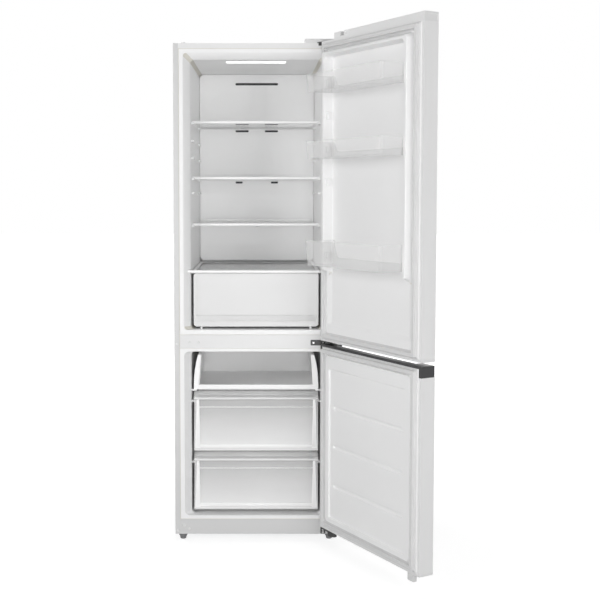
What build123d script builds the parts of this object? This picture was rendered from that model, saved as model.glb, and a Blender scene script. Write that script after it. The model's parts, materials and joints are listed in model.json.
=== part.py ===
from build123d import *
import os
from math import cos, radians, sin

os.makedirs("parts", exist_ok=True)

# A free-standing refrigerator with the freezer at the bottom, in millimetres.
# X = 0 is the middle of the cabinet, Y = 0 its front flange, Z = 0 the floor.
# +Y points to the back. Both doors stand open, turned about the right-hand hinges.

# ---------------------------------------------------------------- driving sizes

# Cabinet
cabinet_width = 600
cabinet_depth = 585
cabinet_height = 1805
ground_clearance = 25
steel = 0.8  # painted sheet
skin = 1.5  # vacuum-formed liner, and the hem of the steel front flange
front_flange = 18.5  # painted flange seen from the front
rear_flange = 12
seam = 2  # groove between two neighbouring front pieces

# Compartments, seen from the front
side_frame = 36  # from the cabinet's side to the opening
top_frame = 34
side_wall = 60  # from the cabinet's side to the inner wall, behind the bevel
top_wall = 57
bevel_depth = 28
wall_draft = 6  # each side wall leans in this much towards the back
back_wall = 60  # insulation behind the compartments
room_corner = 18
fridge_floor = 789
fridge_sill = 17.5
freezer_floor = 95
freezer_ceiling = 709
freezer_head = 11
freezer_sill = 12

# Machine compartment, behind and under the freezer
machine_depth = 240
machine_height = 215
hump_foam = 45  # insulation round the machine compartment
deck_height = 17  # deck above the underside of the cabinet
deck_sheet = 1.5

# Doors
door_width = 594
door_thickness = 57.5
door_gap = 15.2  # inner face of a door to the cabinet's front
door_edge_radius = 5
door_hem = 12
upper_door_bottom = 756
upper_door_top = 1850
top_cap_height = 30
bottom_cap_height = 8
freezer_door_bottom = 66
freezer_door_top = 744
grip_height = 37
open_angle = 119

# Hinges
hinge_inset = 26.5  # pin to the cabinet's side
hinge_setback = 31  # pin to the doors' inner face
pin_radius = 4
running_clearance = 0.1
bracket_sheet = 4
bracket_eye = 12
pin_reach = 20  # pin inside a door

# Gaskets
gasket_margin = 17  # from the door's side
gasket_width = 24
gasket_foot = 6.2
gasket_bulb_inset = 6
seal_gap = 0.6  # left to the cabinet, so that the door swings freely

# Upper door liner
dike_height = 31
dike_margin = 45  # from the door's side to the foot of the dike
dike_top_width = 13
dike_slope = 5
recess_depth = 6
dike_foot_bottom = 1003
lower_recess_bottom = 816
lower_recess_slope = 15

# Freezer door liner
plateau_height = 8
panel_recess = 6
panel_border = 23
plateau_margin = 1.5
rib_height = 12
rib_depth = 4
rib_margin = 92  # from the door's side
rib_levels = (524, 383, 241)

# Balconies
balcony_wall = 2.2
balcony_depth = 111  # in front of the door's inner face
balcony_draft = 4
balcony_corner = 10
balcony_side_gap = 3
balcony_levels = {"balcony_upper": (1640, 59), "balcony_middle": (1410, 59), "balcony_bottle": (1038, 87)}
spare_lug_levels = (1562, 1329)
lug_height = 26
lug_lift = 21  # underside of a lug above the balcony's floor
lug_width = 14
lug_setback = 8
lug_reach = 9
seat_gap = 0.3

# Shelves
shelf_levels = {"glass_shelf_upper": 1557, "glass_shelf_middle": 1350, "glass_shelf_lower": 1176}
spare_ledge_levels = (1488, 1424, 1294)
glass = 4
shelf_front = 99
shelf_back_gap = 6  # to the air panel behind
shelf_side_gap = 2
trim_height = 11
trim_depth = 18
trim_grip = 8  # how far a trim holds the glass
rear_trim_height = 16
ledge_reach = 9
ledge_height = 8
ledge_length = 66
front_ledge_y = 84
rear_ledge_setback = 82  # from the shelf's back edge

# Crisper
crisper_cover_level = 1007
crisper_cover_front = 12
crisper_front = 30
crisper_bottom = 797
crisper_top = 995
crisper_back_gap = 60  # to the room's back
drawer_side_gap = 9.5
drawer_wall = 2.5
drawer_draft = 8
rail_width = 8

# Freezer drawers
drawer_front = 28
drawer_back_gap = 10  # to the air panel
tray_bottom = 563
tray_top = 692
tray_bar = 17.6
middle_drawer = (330, 556)
lower_drawer = (108, 326)
lower_drawer_gap = 8  # to the step over the machine compartment
handle_drop = 29  # underside of the handle lip, below the top of the front
handle_lip = 13
handle_reach = 10
rim_drop = 34  # carrying rim, below the top of the front
rim_height = 4
rim_gap = 10
runner_height = 8
tray_runner_height = 5

# Air panels and machinery
fridge_panel_depth = 37
freezer_duct_depth = 95
panel_sheet = 2.5
fan_radius = 55
fan_level = 600
fan_setback = 11  # behind the air panel's face
fan_depth = 17
fan_blades = 5
shroud_radius = 60
shroud_wall = 4
shroud_depth = 38
motor_radius = 24
motor_depth = 26
evaporator_fins = 16
evaporator_height = 190
compressor_radius = 72
compressor_height = 160
compressor_x = -120
compressor_setback = 120  # from the cabinet's back
grommet_height = 14
pipe_radius = 4

# Feet and rollers
foot_inset_x = 27
foot_y = 30
foot_radius = 10.5  # on the floor
foot_collar_radius = 15.5
foot_cone = 13  # height of the cone under the collar
foot_collar = 20  # top of the collar
foot_stem = 5
sleeve_height = 25  # threaded sleeve of a foot, above the underside of the cabinet
roller_radius = 17
roller_width = 24
roller_inset_x = 50
roller_setback = 37  # from the cabinet's back
axle_radius = 4
ear_sheet = 2

# ---------------------------------------------------------------- derived places

half_width = cabinet_width / 2
inner_half = half_width - steel
cabinet_bottom = ground_clearance
cabinet_top = cabinet_bottom + cabinet_height
opening_half = half_width - side_frame
opening_top = cabinet_top - top_frame
room_half = half_width - side_wall
room_depth = cabinet_depth - back_wall
fridge_panel_front = room_depth - fridge_panel_depth
freezer_panel_front = room_depth - freezer_duct_depth
fridge_ceiling = cabinet_top - top_wall
foam_back = cabinet_depth - steel
flange_half = half_width - front_flange
liner_half = flange_half - seam
machine_front = cabinet_depth - machine_depth
machine_top = cabinet_bottom + machine_height
hump_front = machine_front - hump_foam
hump_top = machine_top + hump_foam
deck_top = cabinet_bottom + deck_height + deck_sheet
shelf_back = fridge_panel_front - shelf_back_gap
rear_ledge_y = shelf_back - rear_ledge_setback
crisper_back = room_depth - crisper_back_gap
drawer_back = freezer_panel_front - drawer_back_gap
lower_drawer_back = hump_front - lower_drawer_gap
fan_front = freezer_panel_front + fan_setback
compressor_y = cabinet_depth - compressor_setback
roller_y = cabinet_depth - roller_setback

door_inner = -door_gap
door_front_y = door_inner - door_thickness
door_half = door_width / 2
foam_half = door_half - steel
foam_inner = door_inner - skin
liner_edge = door_half - door_hem
hinge_x = half_width - hinge_inset
hinge_y = door_inner - hinge_setback
hinge_axis = Axis((hinge_x, hinge_y, 0), (0, 0, 1))
upper_skin_bottom = upper_door_bottom + bottom_cap_height
upper_skin_top = upper_door_top - top_cap_height
freezer_skin_bottom = freezer_door_bottom + bottom_cap_height
freezer_skin_top = freezer_door_top - grip_height
bore_radius = pin_radius + running_clearance

drawer_half = room_half - drawer_side_gap


# ---------------------------------------------------------------- helpers


def middle(span):
    return (span[0] + span[1]) / 2


def length(span):
    return span[1] - span[0]


def side_span(side, near, far):
    """X limits of a piece on one side: side is -1 on the left and 1 on the right."""
    return tuple(sorted((side * near, side * far)))


def front_plane(y):
    """A plane seen from the front at depth y: its x is X and its y is Z."""
    return Plane((0, y, 0), x_dir=(1, 0, 0), z_dir=(0, -1, 0))


def bar(x, y, z, mode=Mode.ADD):
    """A straight block between the limits x, y and z, in the part being built."""
    with BuildSketch(Plane.XY.offset(z[0])) as plan:
        with Locations((middle(x), middle(y))):
            Rectangle(length(x), length(y))
    extrude(plan.sketch, amount=length(z), mode=mode)


def window(x, z, y, radius, mode=Mode.ADD):
    """A block with rounded corners as seen from the front, from y[0] back to y[1]."""
    with BuildSketch(front_plane(y[0])) as face:
        with Locations((middle(x), middle(z))):
            RectangleRounded(length(x), length(z), radius)
    extrude(face.sketch, amount=-length(y), mode=mode)


def tube(x, y, z, radius, mode=Mode.ADD):
    """An upright cylinder at x, y between the heights z."""
    with BuildSketch(Plane.XY.offset(z[0])) as ring:
        with Locations((x, y)):
            Circle(radius)
    extrude(ring.sketch, amount=length(z), mode=mode)


def funnel(near, far, mode=Mode.ADD):
    """A loft along Y. near and far each give y, half width, bottom, top and corner radius."""
    sections = []
    for y, half, low, high, radius in (near, far):
        with BuildSketch(front_plane(y)) as section:
            with Locations((0, (low + high) / 2)):
                RectangleRounded(2 * half, high - low, radius)
        sections.append(section.sketch)
    loft(sections, ruled=True, mode=mode)


def basin(bottom, top, mode=Mode.ADD):
    """A loft along Z. bottom and top each give z, half width, front, back and corner radius."""
    sections = []
    for z, half, front, back, radius in (bottom, top):
        with BuildSketch(Plane.XY.offset(z)) as section:
            with Locations((0, (front + back) / 2)):
                RectangleRounded(2 * half, back - front, radius)
        sections.append(section.sketch)
    loft(sections, ruled=True, mode=mode)


def cross_section(points, half, mode=Mode.ADD):
    """A closed outline in Y and Z, drawn out from -half to half along X."""
    with BuildSketch(Plane.YZ.offset(-half)) as outline:
        with BuildLine():
            Polyline(*points, close=True)
        make_face()
    extrude(outline.sketch, amount=2 * half, mode=mode)


def save(part, name):
    part.label = name
    export_step(part, f"parts/{name}.step")


def hang(part, name):
    """A door piece is drawn with its door closed, and is swung open before it is saved."""
    save(part.rotate(hinge_axis, open_angle), name)


# ---------------------------------------------------------------- cabinet casing


def side_panel(side):
    """Painted side sheet with its hemmed front flange and its rear flange."""
    height = (cabinet_bottom, cabinet_top)
    with BuildPart() as panel:
        bar(side_span(side, inner_half, half_width), (0, cabinet_depth), height)
        bar(side_span(side, flange_half, half_width), (0, skin), height)
        bar(side_span(side, half_width - rear_flange, half_width), (foam_back, cabinet_depth), height)
        corner = panel.edges().filter_by(Axis.Z).sort_by(Axis.Y).group_by(Axis.Y)[0]
        fillet(corner.sort_by(Axis.X)[0 if side < 0 else -1], radius=0.9 * skin)
    return panel.part


save(side_panel(-1), "left_side_panel")
save(side_panel(1), "right_side_panel")

back_half = half_width - rear_flange
with BuildPart() as top_panel:
    bar((-inner_half, inner_half), (skin, foam_back), (cabinet_top - steel, cabinet_top))
    bar((-back_half, back_half), (foam_back, cabinet_depth), (cabinet_top - steel, cabinet_top))
    bar((-flange_half, flange_half), (0, skin), (cabinet_top - front_flange, cabinet_top))
save(top_panel.part, "top_panel")

back_rib_x = (-0.72 * back_half, -0.24 * back_half, 0.24 * back_half, 0.72 * back_half)
back_rib_width = 26
back_rib_height = 1.2
back_rib_margin = 90
back_panel_bottom = machine_top + steel
with BuildPart() as back_panel:
    bar((-back_half, back_half), (foam_back, cabinet_depth), (back_panel_bottom, cabinet_top - steel))
    for rib_x in back_rib_x:
        window(
            (rib_x - back_rib_width / 2, rib_x + back_rib_width / 2),
            (back_panel_bottom + back_rib_margin, cabinet_top - back_rib_margin),
            (cabinet_depth, cabinet_depth + back_rib_height),
            0.45 * back_rib_width,
        )
save(back_panel.part, "back_panel")

# One bent sheet: floor of the cabinet, riser and roof of the machine compartment,
# with a threaded sleeve in each front corner for the levelling feet.
sleeve_radius = foot_stem + 4
sleeve_top = cabinet_bottom + sleeve_height
with BuildPart() as base_pan:
    bar((-inner_half, inner_half), (skin, machine_front), (cabinet_bottom, cabinet_bottom + steel))
    bar((-inner_half, inner_half), (machine_front - steel, machine_front), (cabinet_bottom, machine_top))
    bar((-inner_half, inner_half), (machine_front - steel, foam_back), (machine_top, machine_top + steel))
    for side in (-1, 1):
        foot_x = side * (half_width - foot_inset_x)
        tube(foot_x, foot_y, (foot_collar + 1, sleeve_top), sleeve_radius)
        tube(foot_x, foot_y, (foot_collar, sleeve_top - 2), foot_stem + running_clearance, Mode.SUBTRACT)
save(base_pan.part, "base_pan")


# ---------------------------------------------------------------- liners and foam


def room(grow, floor, ceiling, opening):
    """The inside of a compartment, with every wall moved out by grow.
    The bevel runs from the opening to the side walls, which then lean in towards the back."""
    radius = room_corner + grow
    mouth = (0, opening_half + grow, floor - grow, opening + grow, radius)
    neck = (bevel_depth, room_half + grow, floor - grow, ceiling + grow, radius)
    back = (room_depth + grow, room_half - wall_draft + grow, floor - grow, ceiling + grow, radius)
    with BuildPart() as space:
        funnel(mouth, neck)
        funnel(neck, back)
    return space.part


def fridge_room(grow):
    return room(grow, fridge_floor, fridge_ceiling, opening_top)


def freezer_room(grow):
    """The freezer compartment steps over the machine compartment at the back."""
    with BuildPart() as space:
        add(room(grow, freezer_floor, freezer_ceiling, freezer_ceiling))
        bar(
            (-half_width, half_width),
            (hump_front + grow, cabinet_depth),
            (cabinet_bottom, hump_top - grow),
            Mode.SUBTRACT,
        )
    return space.part


def wall_x(y):
    """Half width between the side walls at depth y."""
    return room_half - wall_draft * (y - bevel_depth) / (room_depth - bevel_depth)


def ledges(levels, spans, reach, height):
    """Ledges on both side walls. levels are their tops and spans their lengths along Y."""
    for level in levels:
        for span in spans:
            for side in (-1, 1):
                bar(side_span(side, wall_x(span[0]) - reach, half_width), span, (level - height, level))


with BuildPart() as cabinet_foam:
    bar((-inner_half, inner_half), (skin, foam_back), (cabinet_bottom + steel, cabinet_top - steel))
    bar(
        (-half_width, half_width),
        (machine_front - steel, cabinet_depth),
        (cabinet_bottom, machine_top + steel),
        Mode.SUBTRACT,
    )
    add(fridge_room(skin), mode=Mode.SUBTRACT)
    add(freezer_room(skin), mode=Mode.SUBTRACT)
    for side in (-1, 1):
        sleeve_x = side * (half_width - foot_inset_x)
        tube(sleeve_x, foot_y, (cabinet_bottom, sleeve_top), sleeve_radius, Mode.SUBTRACT)
save(cabinet_foam.part, "cabinet_foam")

shelf_ledge_tops = [level - glass for level in shelf_levels.values()] + list(spare_ledge_levels)
front_ledge = (front_ledge_y, front_ledge_y + ledge_length)
rear_ledge = (rear_ledge_y, rear_ledge_y + ledge_length)
cover_ledge_top = crisper_cover_level + 1 - trim_height
rail_x = drawer_half - drawer_draft - 3 * rail_width
with BuildPart() as fridge_ledges:
    ledges(shelf_ledge_tops, (front_ledge, rear_ledge), ledge_reach, ledge_height)
    ledges((cover_ledge_top,), (front_ledge, rear_ledge), drawer_side_gap - 2, ledge_height)
    for side in (-1, 1):
        bar(
            side_span(side, rail_x, rail_x + rail_width),
            (bevel_depth + rail_width, crisper_back),
            (fridge_floor - skin, crisper_bottom - seat_gap),
        )
    add(fridge_room(skin / 2), mode=Mode.INTERSECT)

with BuildPart() as fridge_liner:
    window((-liner_half, liner_half), (fridge_floor - fridge_sill, cabinet_top - front_flange - seam), (0, skin), 3)
    add(fridge_room(skin))
    add(fridge_room(0), mode=Mode.SUBTRACT)
    add(fridge_ledges.part)
save(fridge_liner.part, "fridge_liner")

# The tray slides on its floor; the two drawers hang by their rims.
tray_runner = (drawer_front + 4, drawer_back)
middle_rim = middle_drawer[1] - rim_drop
lower_rim = lower_drawer[1] - rim_drop
runner_reach = drawer_side_gap + rim_gap / 2
with BuildPart() as freezer_ledges:
    ledges((tray_bottom - seat_gap,), (tray_runner,), drawer_side_gap + rim_gap, tray_runner_height)
    ledges((middle_rim - seat_gap,), ((drawer_front + 12, drawer_back),), runner_reach, runner_height)
    ledges((lower_rim - seat_gap,), ((drawer_front + 12, lower_drawer_back),), runner_reach, runner_height)
    add(freezer_room(skin / 2), mode=Mode.INTERSECT)

freezer_liner_bottom = freezer_floor - freezer_sill
freezer_liner_top = freezer_ceiling + freezer_head
with BuildPart() as freezer_liner:
    window((-liner_half, liner_half), (freezer_liner_bottom, freezer_liner_top), (0, skin), 3)
    add(freezer_room(skin))
    add(freezer_room(0), mode=Mode.SUBTRACT)
    add(freezer_ledges.part)
save(freezer_liner.part, "freezer_liner")

with BuildPart() as mullion_cover:
    bar(
        (-liner_half, liner_half),
        (0, skin),
        (freezer_liner_top + seam / 2, fridge_floor - fridge_sill - seam / 2),
    )
    fillet(mullion_cover.faces().sort_by(Axis.Y)[0].edges(), radius=0.5 * skin)
save(mullion_cover.part, "mullion_cover")

kick_panel_top = freezer_liner_bottom - seam
with BuildPart() as kick_panel:
    bar((-flange_half, flange_half), (0, skin), (cabinet_bottom, kick_panel_top))
    fillet(kick_panel.faces().sort_by(Axis.Y)[0].edges(), radius=0.5 * skin)
save(kick_panel.part, "kick_panel")

# ---------------------------------------------------------------- inside the fridge


def slot(x, z, y, mode=Mode.SUBTRACT):
    """An air slot with round ends through a panel."""
    window(x, z, y, 0.49 * length(z), mode)


# Duct cover over the whole back wall above the crisper, a shallow tray turned to the wall.
fridge_panel_half = wall_x(fridge_panel_front) - 1.5
fridge_panel_half_back = wall_x(room_depth) - 1.5
fridge_panel_z = (crisper_cover_level + 8, fridge_ceiling - 1)
air_slots = (
    (87, -87, 1733.5, 9.5),
    (33, 87, 1573, 8),
    (-87, -33, 1573, 8),
    (33, 87, 1543, 8),
    (-87, -33, 1543, 8),
    (58, 87, 1334, 8),
    (-87, -58, 1334, 8),
)
with BuildPart() as fridge_air_panel:
    funnel(
        (fridge_panel_front, fridge_panel_half, *fridge_panel_z, room_corner),
        (room_depth, fridge_panel_half_back, *fridge_panel_z, room_corner),
    )
    funnel(
        (
            fridge_panel_front + panel_sheet,
            fridge_panel_half - panel_sheet,
            fridge_panel_z[0] + panel_sheet,
            fridge_panel_z[1] - panel_sheet,
            room_corner - panel_sheet,
        ),
        (
            room_depth,
            fridge_panel_half_back - panel_sheet,
            fridge_panel_z[0] + panel_sheet,
            fridge_panel_z[1] - panel_sheet,
            room_corner - panel_sheet,
        ),
        Mode.SUBTRACT,
    )
    for x0, x1, z, slot_height in air_slots:
        slot(
            tuple(sorted((x0, x1))),
            (z - slot_height / 2, z + slot_height / 2),
            (fridge_panel_front, fridge_panel_front + panel_sheet),
        )
    with BuildSketch(front_plane(fridge_panel_front)) as sensor_eye:
        with Locations((0, 1152)):
            Circle(3)
    extrude(sensor_eye.sketch, amount=-panel_sheet, mode=Mode.SUBTRACT)
save(fridge_air_panel.part, "fridge_air_panel")

lens_width = 220
lens_y = (70, 116)
lens_height = 4
with BuildPart() as light_lens:
    bar((-lens_width / 2, lens_width / 2), lens_y, (fridge_ceiling - lens_height, fridge_ceiling))
    chamfer(light_lens.faces().sort_by(Axis.Z)[0].edges(), length=0.6 * lens_height)
save(light_lens.part, "light_lens")

shelf_half = wall_x(shelf_back) - shelf_side_gap
glass_y = (shelf_front + trim_depth - trim_grip, shelf_back - trim_depth + trim_grip)
trim_half = wall_x(shelf_front + trim_depth) - shelf_side_gap / 2


def glass_plate(half, y, level):
    with BuildPart() as plate:
        bar((-half, half), y, (level - glass, level))
        fillet(plate.edges().filter_by(Axis.Z), radius=6)
    return plate.part


for name, level in shelf_levels.items():
    save(glass_plate(shelf_half, glass_y, level), name)

# Each shelf has a rounded front trim and a rear trim with a low upstand, both clipped on.
with BuildPart() as shelf_trims:
    for level in shelf_levels.values():
        low, high = level + 2 - trim_height, level + 2
        nose = shelf_front + trim_depth / 3
        cross_section(
            (
                (nose, low),
                (shelf_front, low + trim_height / 3),
                (shelf_front, high - trim_height / 3),
                (nose, high),
                (shelf_front + trim_depth, high),
                (shelf_front + trim_depth, low),
            ),
            trim_half,
        )
        # the ends of the front trim stand on the ledges, so their undersides are cut away there
        for side in (-1, 1):
            bar(
                side_span(side, room_half - ledge_reach - 2, half_width),
                (shelf_front, shelf_front + trim_depth),
                (low, level - glass),
                Mode.SUBTRACT,
            )
        cross_section(
            (
                (shelf_back - trim_depth, level - glass - 2),
                (shelf_back, level - glass - 2),
                (shelf_back, level - glass - 2 + rear_trim_height),
                (shelf_back - 3, level - glass - 2 + rear_trim_height),
                (shelf_back - 5, level + 2),
                (shelf_back - trim_depth, level + 2),
            ),
            shelf_half - 14,
        )
        bar((-shelf_half, shelf_half), glass_y, (level - glass, level), Mode.SUBTRACT)
save(shelf_trims.part, "shelf_trims")

# Cover of the crisper: a glass plate in a moulded frame that reaches out into the bevel.
cover_front_half = opening_half - (opening_half - room_half) * crisper_cover_front / bevel_depth - 2
cover_nose = crisper_cover_front + trim_depth
cover_glass_y = (cover_nose - trim_grip, shelf_back - trim_depth + trim_grip)
frame_rail = 12
cover_frame_z = (crisper_cover_level + 1 - trim_height, crisper_cover_level + 1)
with BuildPart() as crisper_cover_frame:
    with BuildSketch(Plane.XY.offset(cover_frame_z[0])) as plan:
        with BuildLine():
            Polyline(
                (-cover_front_half, crisper_cover_front),
                (cover_front_half, crisper_cover_front),
                (room_half - 2, bevel_depth),
                (room_half - 2, cover_nose),
                (-room_half + 2, cover_nose),
                (-room_half + 2, bevel_depth),
                close=True,
            )
        make_face()
    extrude(amount=trim_height)
    for side in (-1, 1):
        bar(side_span(side, shelf_half - frame_rail, shelf_half), (cover_nose, shelf_back), cover_frame_z)
    bar((-shelf_half, shelf_half), (shelf_back - trim_depth, shelf_back), cover_frame_z)
    bar(
        (-shelf_half + 3, shelf_half - 3),
        cover_glass_y,
        (crisper_cover_level - glass, crisper_cover_level),
        Mode.SUBTRACT,
    )
    bar(
        (-shelf_half + frame_rail, shelf_half - frame_rail),
        (cover_nose, shelf_back - trim_depth),
        (crisper_cover_level, cover_frame_z[1]),
        Mode.SUBTRACT,
    )
    front_edges = crisper_cover_frame.faces().sort_by(Axis.Y)[0].edges().filter_by(Axis.X)
    fillet(front_edges, radius=3)
save(crisper_cover_frame.part, "crisper_cover_frame")
with BuildPart() as crisper_cover_glass:
    bar((-shelf_half + 3, shelf_half - 3), cover_glass_y, (crisper_cover_level - glass, crisper_cover_level))
save(crisper_cover_glass.part, "crisper_cover_glass")

# Crisper: a clear tub whose front stands proud all round, with a thick lip along its foot.
crisper_half = drawer_half - 4
crisper_tub_front = crisper_front + 3
crisper_lip = 17
with BuildPart() as crisper_drawer:
    basin(
        (crisper_bottom, crisper_half - drawer_draft, crisper_tub_front, crisper_back - drawer_draft, 14),
        (crisper_top - 10, crisper_half, crisper_tub_front, crisper_back, 14),
    )
    window(
        (-drawer_half, drawer_half),
        (crisper_bottom + 3, crisper_top),
        (crisper_front, crisper_front + 6),
        8,
    )
    window(
        (-drawer_half + 4, drawer_half - 4),
        (crisper_bottom + 3, crisper_bottom + 3 + crisper_lip),
        (crisper_front - 4, crisper_front),
        3,
    )
    basin(
        (
            crisper_bottom + drawer_wall,
            crisper_half - drawer_draft - drawer_wall,
            crisper_front + 6,
            crisper_back - drawer_draft - drawer_wall,
            11.5,
        ),
        (crisper_top - 9, crisper_half - drawer_wall, crisper_front + 6, crisper_back - drawer_wall, 11.5),
        Mode.SUBTRACT,
    )
    window(
        (-drawer_half + 12, drawer_half - 12),
        (crisper_bottom + 3 + crisper_lip + 4, crisper_top - 6),
        (crisper_front, crisper_front + 3),
        6,
        Mode.SUBTRACT,
    )
save(crisper_drawer.part, "crisper_drawer")

# ---------------------------------------------------------------- inside the freezer

# Open tray: low bar in front, and side walls that curve in towards the top.
tray_half = drawer_half - 7
tray_top_half = tray_half - drawer_draft
tray_frame_y = (drawer_front, drawer_front + 12)
tray_side = 17
tray_side_top = 10
with BuildPart() as freezer_tray:
    basin(
        (tray_bottom, tray_half, tray_frame_y[0] + 4, drawer_back, 12),
        (tray_top, tray_top_half, tray_frame_y[0] + 4, drawer_back, 12),
    )
    with BuildSketch(front_plane(tray_frame_y[0])) as tray_frame:
        with BuildLine():
            foot = Line((-drawer_half, tray_bottom), (drawer_half, tray_bottom))
            right = Line((drawer_half, tray_bottom), (drawer_half, tray_bottom + tray_bar))
            curve_right = TangentArc(
                (drawer_half, tray_bottom + tray_bar), (tray_top_half, tray_top), tangent=(0, 1)
            )
            head = Line((tray_top_half, tray_top), (-tray_top_half, tray_top))
            curve_left = TangentArc(
                (-drawer_half, tray_bottom + tray_bar), (-tray_top_half, tray_top), tangent=(0, 1)
            )
            left = Line((-drawer_half, tray_bottom), (-drawer_half, tray_bottom + tray_bar))
        make_face()
    extrude(amount=-length(tray_frame_y))
    basin(
        (tray_bottom + drawer_wall, tray_half - drawer_wall, tray_frame_y[1], drawer_back - drawer_wall, 9.5),
        (tray_top + 1, tray_top_half - drawer_wall, tray_frame_y[1], drawer_back - drawer_wall, 9.5),
        Mode.SUBTRACT,
    )
    with BuildSketch(front_plane(tray_frame_y[0])) as tray_mouth:
        with BuildLine():
            Polyline(
                (-drawer_half + tray_side, tray_bottom + tray_bar),
                (drawer_half - tray_side, tray_bottom + tray_bar),
                (tray_top_half - tray_side_top, tray_top + 1),
                (-tray_top_half + tray_side_top, tray_top + 1),
                close=True,
            )
        make_face()
    extrude(amount=-length(tray_frame_y), mode=Mode.SUBTRACT)
save(freezer_tray.part, "freezer_tray")


def drawer_box(z, back):
    """White tub of a freezer drawer, open in front, with a carrying rim along each side."""
    low, high = z
    half = drawer_half - rim_gap
    front = drawer_front + 6
    rim = high - rim_drop
    with BuildPart() as box:
        basin(
            (low + 3, half - drawer_draft, front, back - drawer_draft, 12),
            (high - 16, half, front, back, 12),
        )
        bar((-drawer_half + 2.5, drawer_half - 2.5), (front, front + 2.5), (low + 3, high - 16))
        for side in (-1, 1):
            bar(side_span(side, half - 6, drawer_half - 1), (front + 8, back - 14), (rim, rim + rim_height))
        basin(
            (
                low + 3 + drawer_wall,
                half - drawer_draft - drawer_wall,
                front - 20,
                back - drawer_draft - drawer_wall,
                9.5,
            ),
            (high - 15, half - drawer_wall, front - 20, back - drawer_wall, 9.5),
            Mode.SUBTRACT,
        )
    return box.part


def drawer_face(z):
    """Clear front of a freezer drawer: a flat pane, a handle lip, and a top that curls back."""
    low, high = z
    y = drawer_front
    lip_low = high - handle_drop
    lip_high = lip_low + handle_lip
    with BuildPart() as face:
        with BuildSketch(Plane.YZ.offset(-drawer_half)) as outline:
            with BuildLine():
                Line((y + 3, low), (y + 6, low))
                Line((y + 6, low), (y + 6, lip_high))
                top = ThreePointArc((y + 6, lip_high), (y + 10, high - 5), (y + 20, high - 2))
                Line(top @ 1, (y + 20, high))
                under = ThreePointArc((y + 20, high), (y + 6, high - 5), (y + 2, lip_high))
                Line(under @ 1, (y - handle_reach, lip_high))
                nose = TangentArc((y - handle_reach, lip_high), (y - handle_reach, lip_low), tangent=(-1, 0))
                Line(nose @ 1, (y, lip_low))
                Line((y, lip_low), (y, low + 3))
                Line((y, low + 3), (y + 3, low))
            make_face()
        extrude(amount=2 * drawer_half)
        bar(
            (-drawer_half + 14, drawer_half - 14),
            (y + 3, y + 6),
            (low + 8, lip_low - 8),
            Mode.SUBTRACT,
        )
    return face.part


save(drawer_box(middle_drawer, drawer_back), "freezer_drawer_middle")
save(drawer_face(middle_drawer), "freezer_drawer_middle_front")
save(drawer_box(lower_drawer, lower_drawer_back), "freezer_drawer_lower")
save(drawer_face(lower_drawer), "freezer_drawer_lower_front")

# Air panel in front of the evaporator, with a ring of curved slots before the fan.
freezer_panel_half = wall_x(freezer_panel_front) - 1
grille_slots = 12
with BuildPart() as freezer_air_panel:
    window(
        (-freezer_panel_half, freezer_panel_half),
        (hump_top, freezer_ceiling - 1),
        (freezer_panel_front, freezer_panel_front + panel_sheet),
        room_corner,
    )
    with BuildSketch(front_plane(freezer_panel_front)) as grille:
        with Locations((0, fan_level)):
            with PolarLocations(0.66 * fan_radius, grille_slots):
                SlotCenterToCenter(0.4 * fan_radius, 6)
    extrude(grille.sketch, amount=-panel_sheet, mode=Mode.SUBTRACT)
    for side in (-1, 1):
        for level in (hump_top + 14, hump_top + 28, hump_top + 42):
            slot(
                side_span(side, 0.25 * freezer_panel_half, 0.8 * freezer_panel_half),
                (level - 3, level + 3),
                (freezer_panel_front, freezer_panel_front + panel_sheet),
            )
save(freezer_air_panel.part, "freezer_air_panel")

fin_y = (freezer_panel_front + 30, room_depth)
fin_z = (hump_top, hump_top + evaporator_height)
fin_half = room_half - 50
with BuildPart() as evaporator:
    for i in range(evaporator_fins):
        fin_x = -fin_half + 2 * fin_half * i / (evaporator_fins - 1)
        bar((fin_x - 0.5, fin_x + 0.5), fin_y, fin_z)
    for row in range(4):
        for column in (0.3, 0.7):
            tube_y = fin_y[0] + column * length(fin_y)
            tube_z = fin_z[0] + (row + 0.5) * length(fin_z) / 4
            with BuildSketch(Plane.YZ.offset(-fin_half - 12)) as pipe:
                with Locations((tube_y, tube_z)):
                    RegularPolygon(pipe_radius, 8)
            extrude(pipe.sketch, amount=2 * fin_half + 24)
save(evaporator.part, "evaporator")

motor_front = fan_front + fan_depth + 3
shroud_front = freezer_panel_front + panel_sheet
shaft_radius = 2
with BuildPart() as fan_motor:
    with BuildSketch(front_plane(shroud_front)) as shroud:
        with Locations((0, fan_level)):
            Circle(shroud_radius + shroud_wall)
            Circle(shroud_radius, mode=Mode.SUBTRACT)
    extrude(shroud.sketch, amount=-shroud_depth)
    spoke_y = (motor_front, shroud_front + shroud_depth)
    with BuildSketch(front_plane(spoke_y[0])) as spokes:
        with Locations((0, fan_level)):
            with PolarLocations((motor_radius + shroud_radius) / 2, 3, start_angle=30):
                Rectangle(shroud_radius - motor_radius + 6, 8)
    extrude(spokes.sketch, amount=-length(spoke_y))
    with BuildSketch(front_plane(motor_front)) as can:
        with Locations((0, fan_level)):
            Circle(motor_radius)
    extrude(can.sketch, amount=-motor_depth)
    with BuildSketch(front_plane(motor_front)) as shaft:
        with Locations((0, fan_level)):
            Circle(shaft_radius)
    extrude(shaft.sketch, amount=fan_depth)
save(fan_motor.part, "fan_motor")

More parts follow.
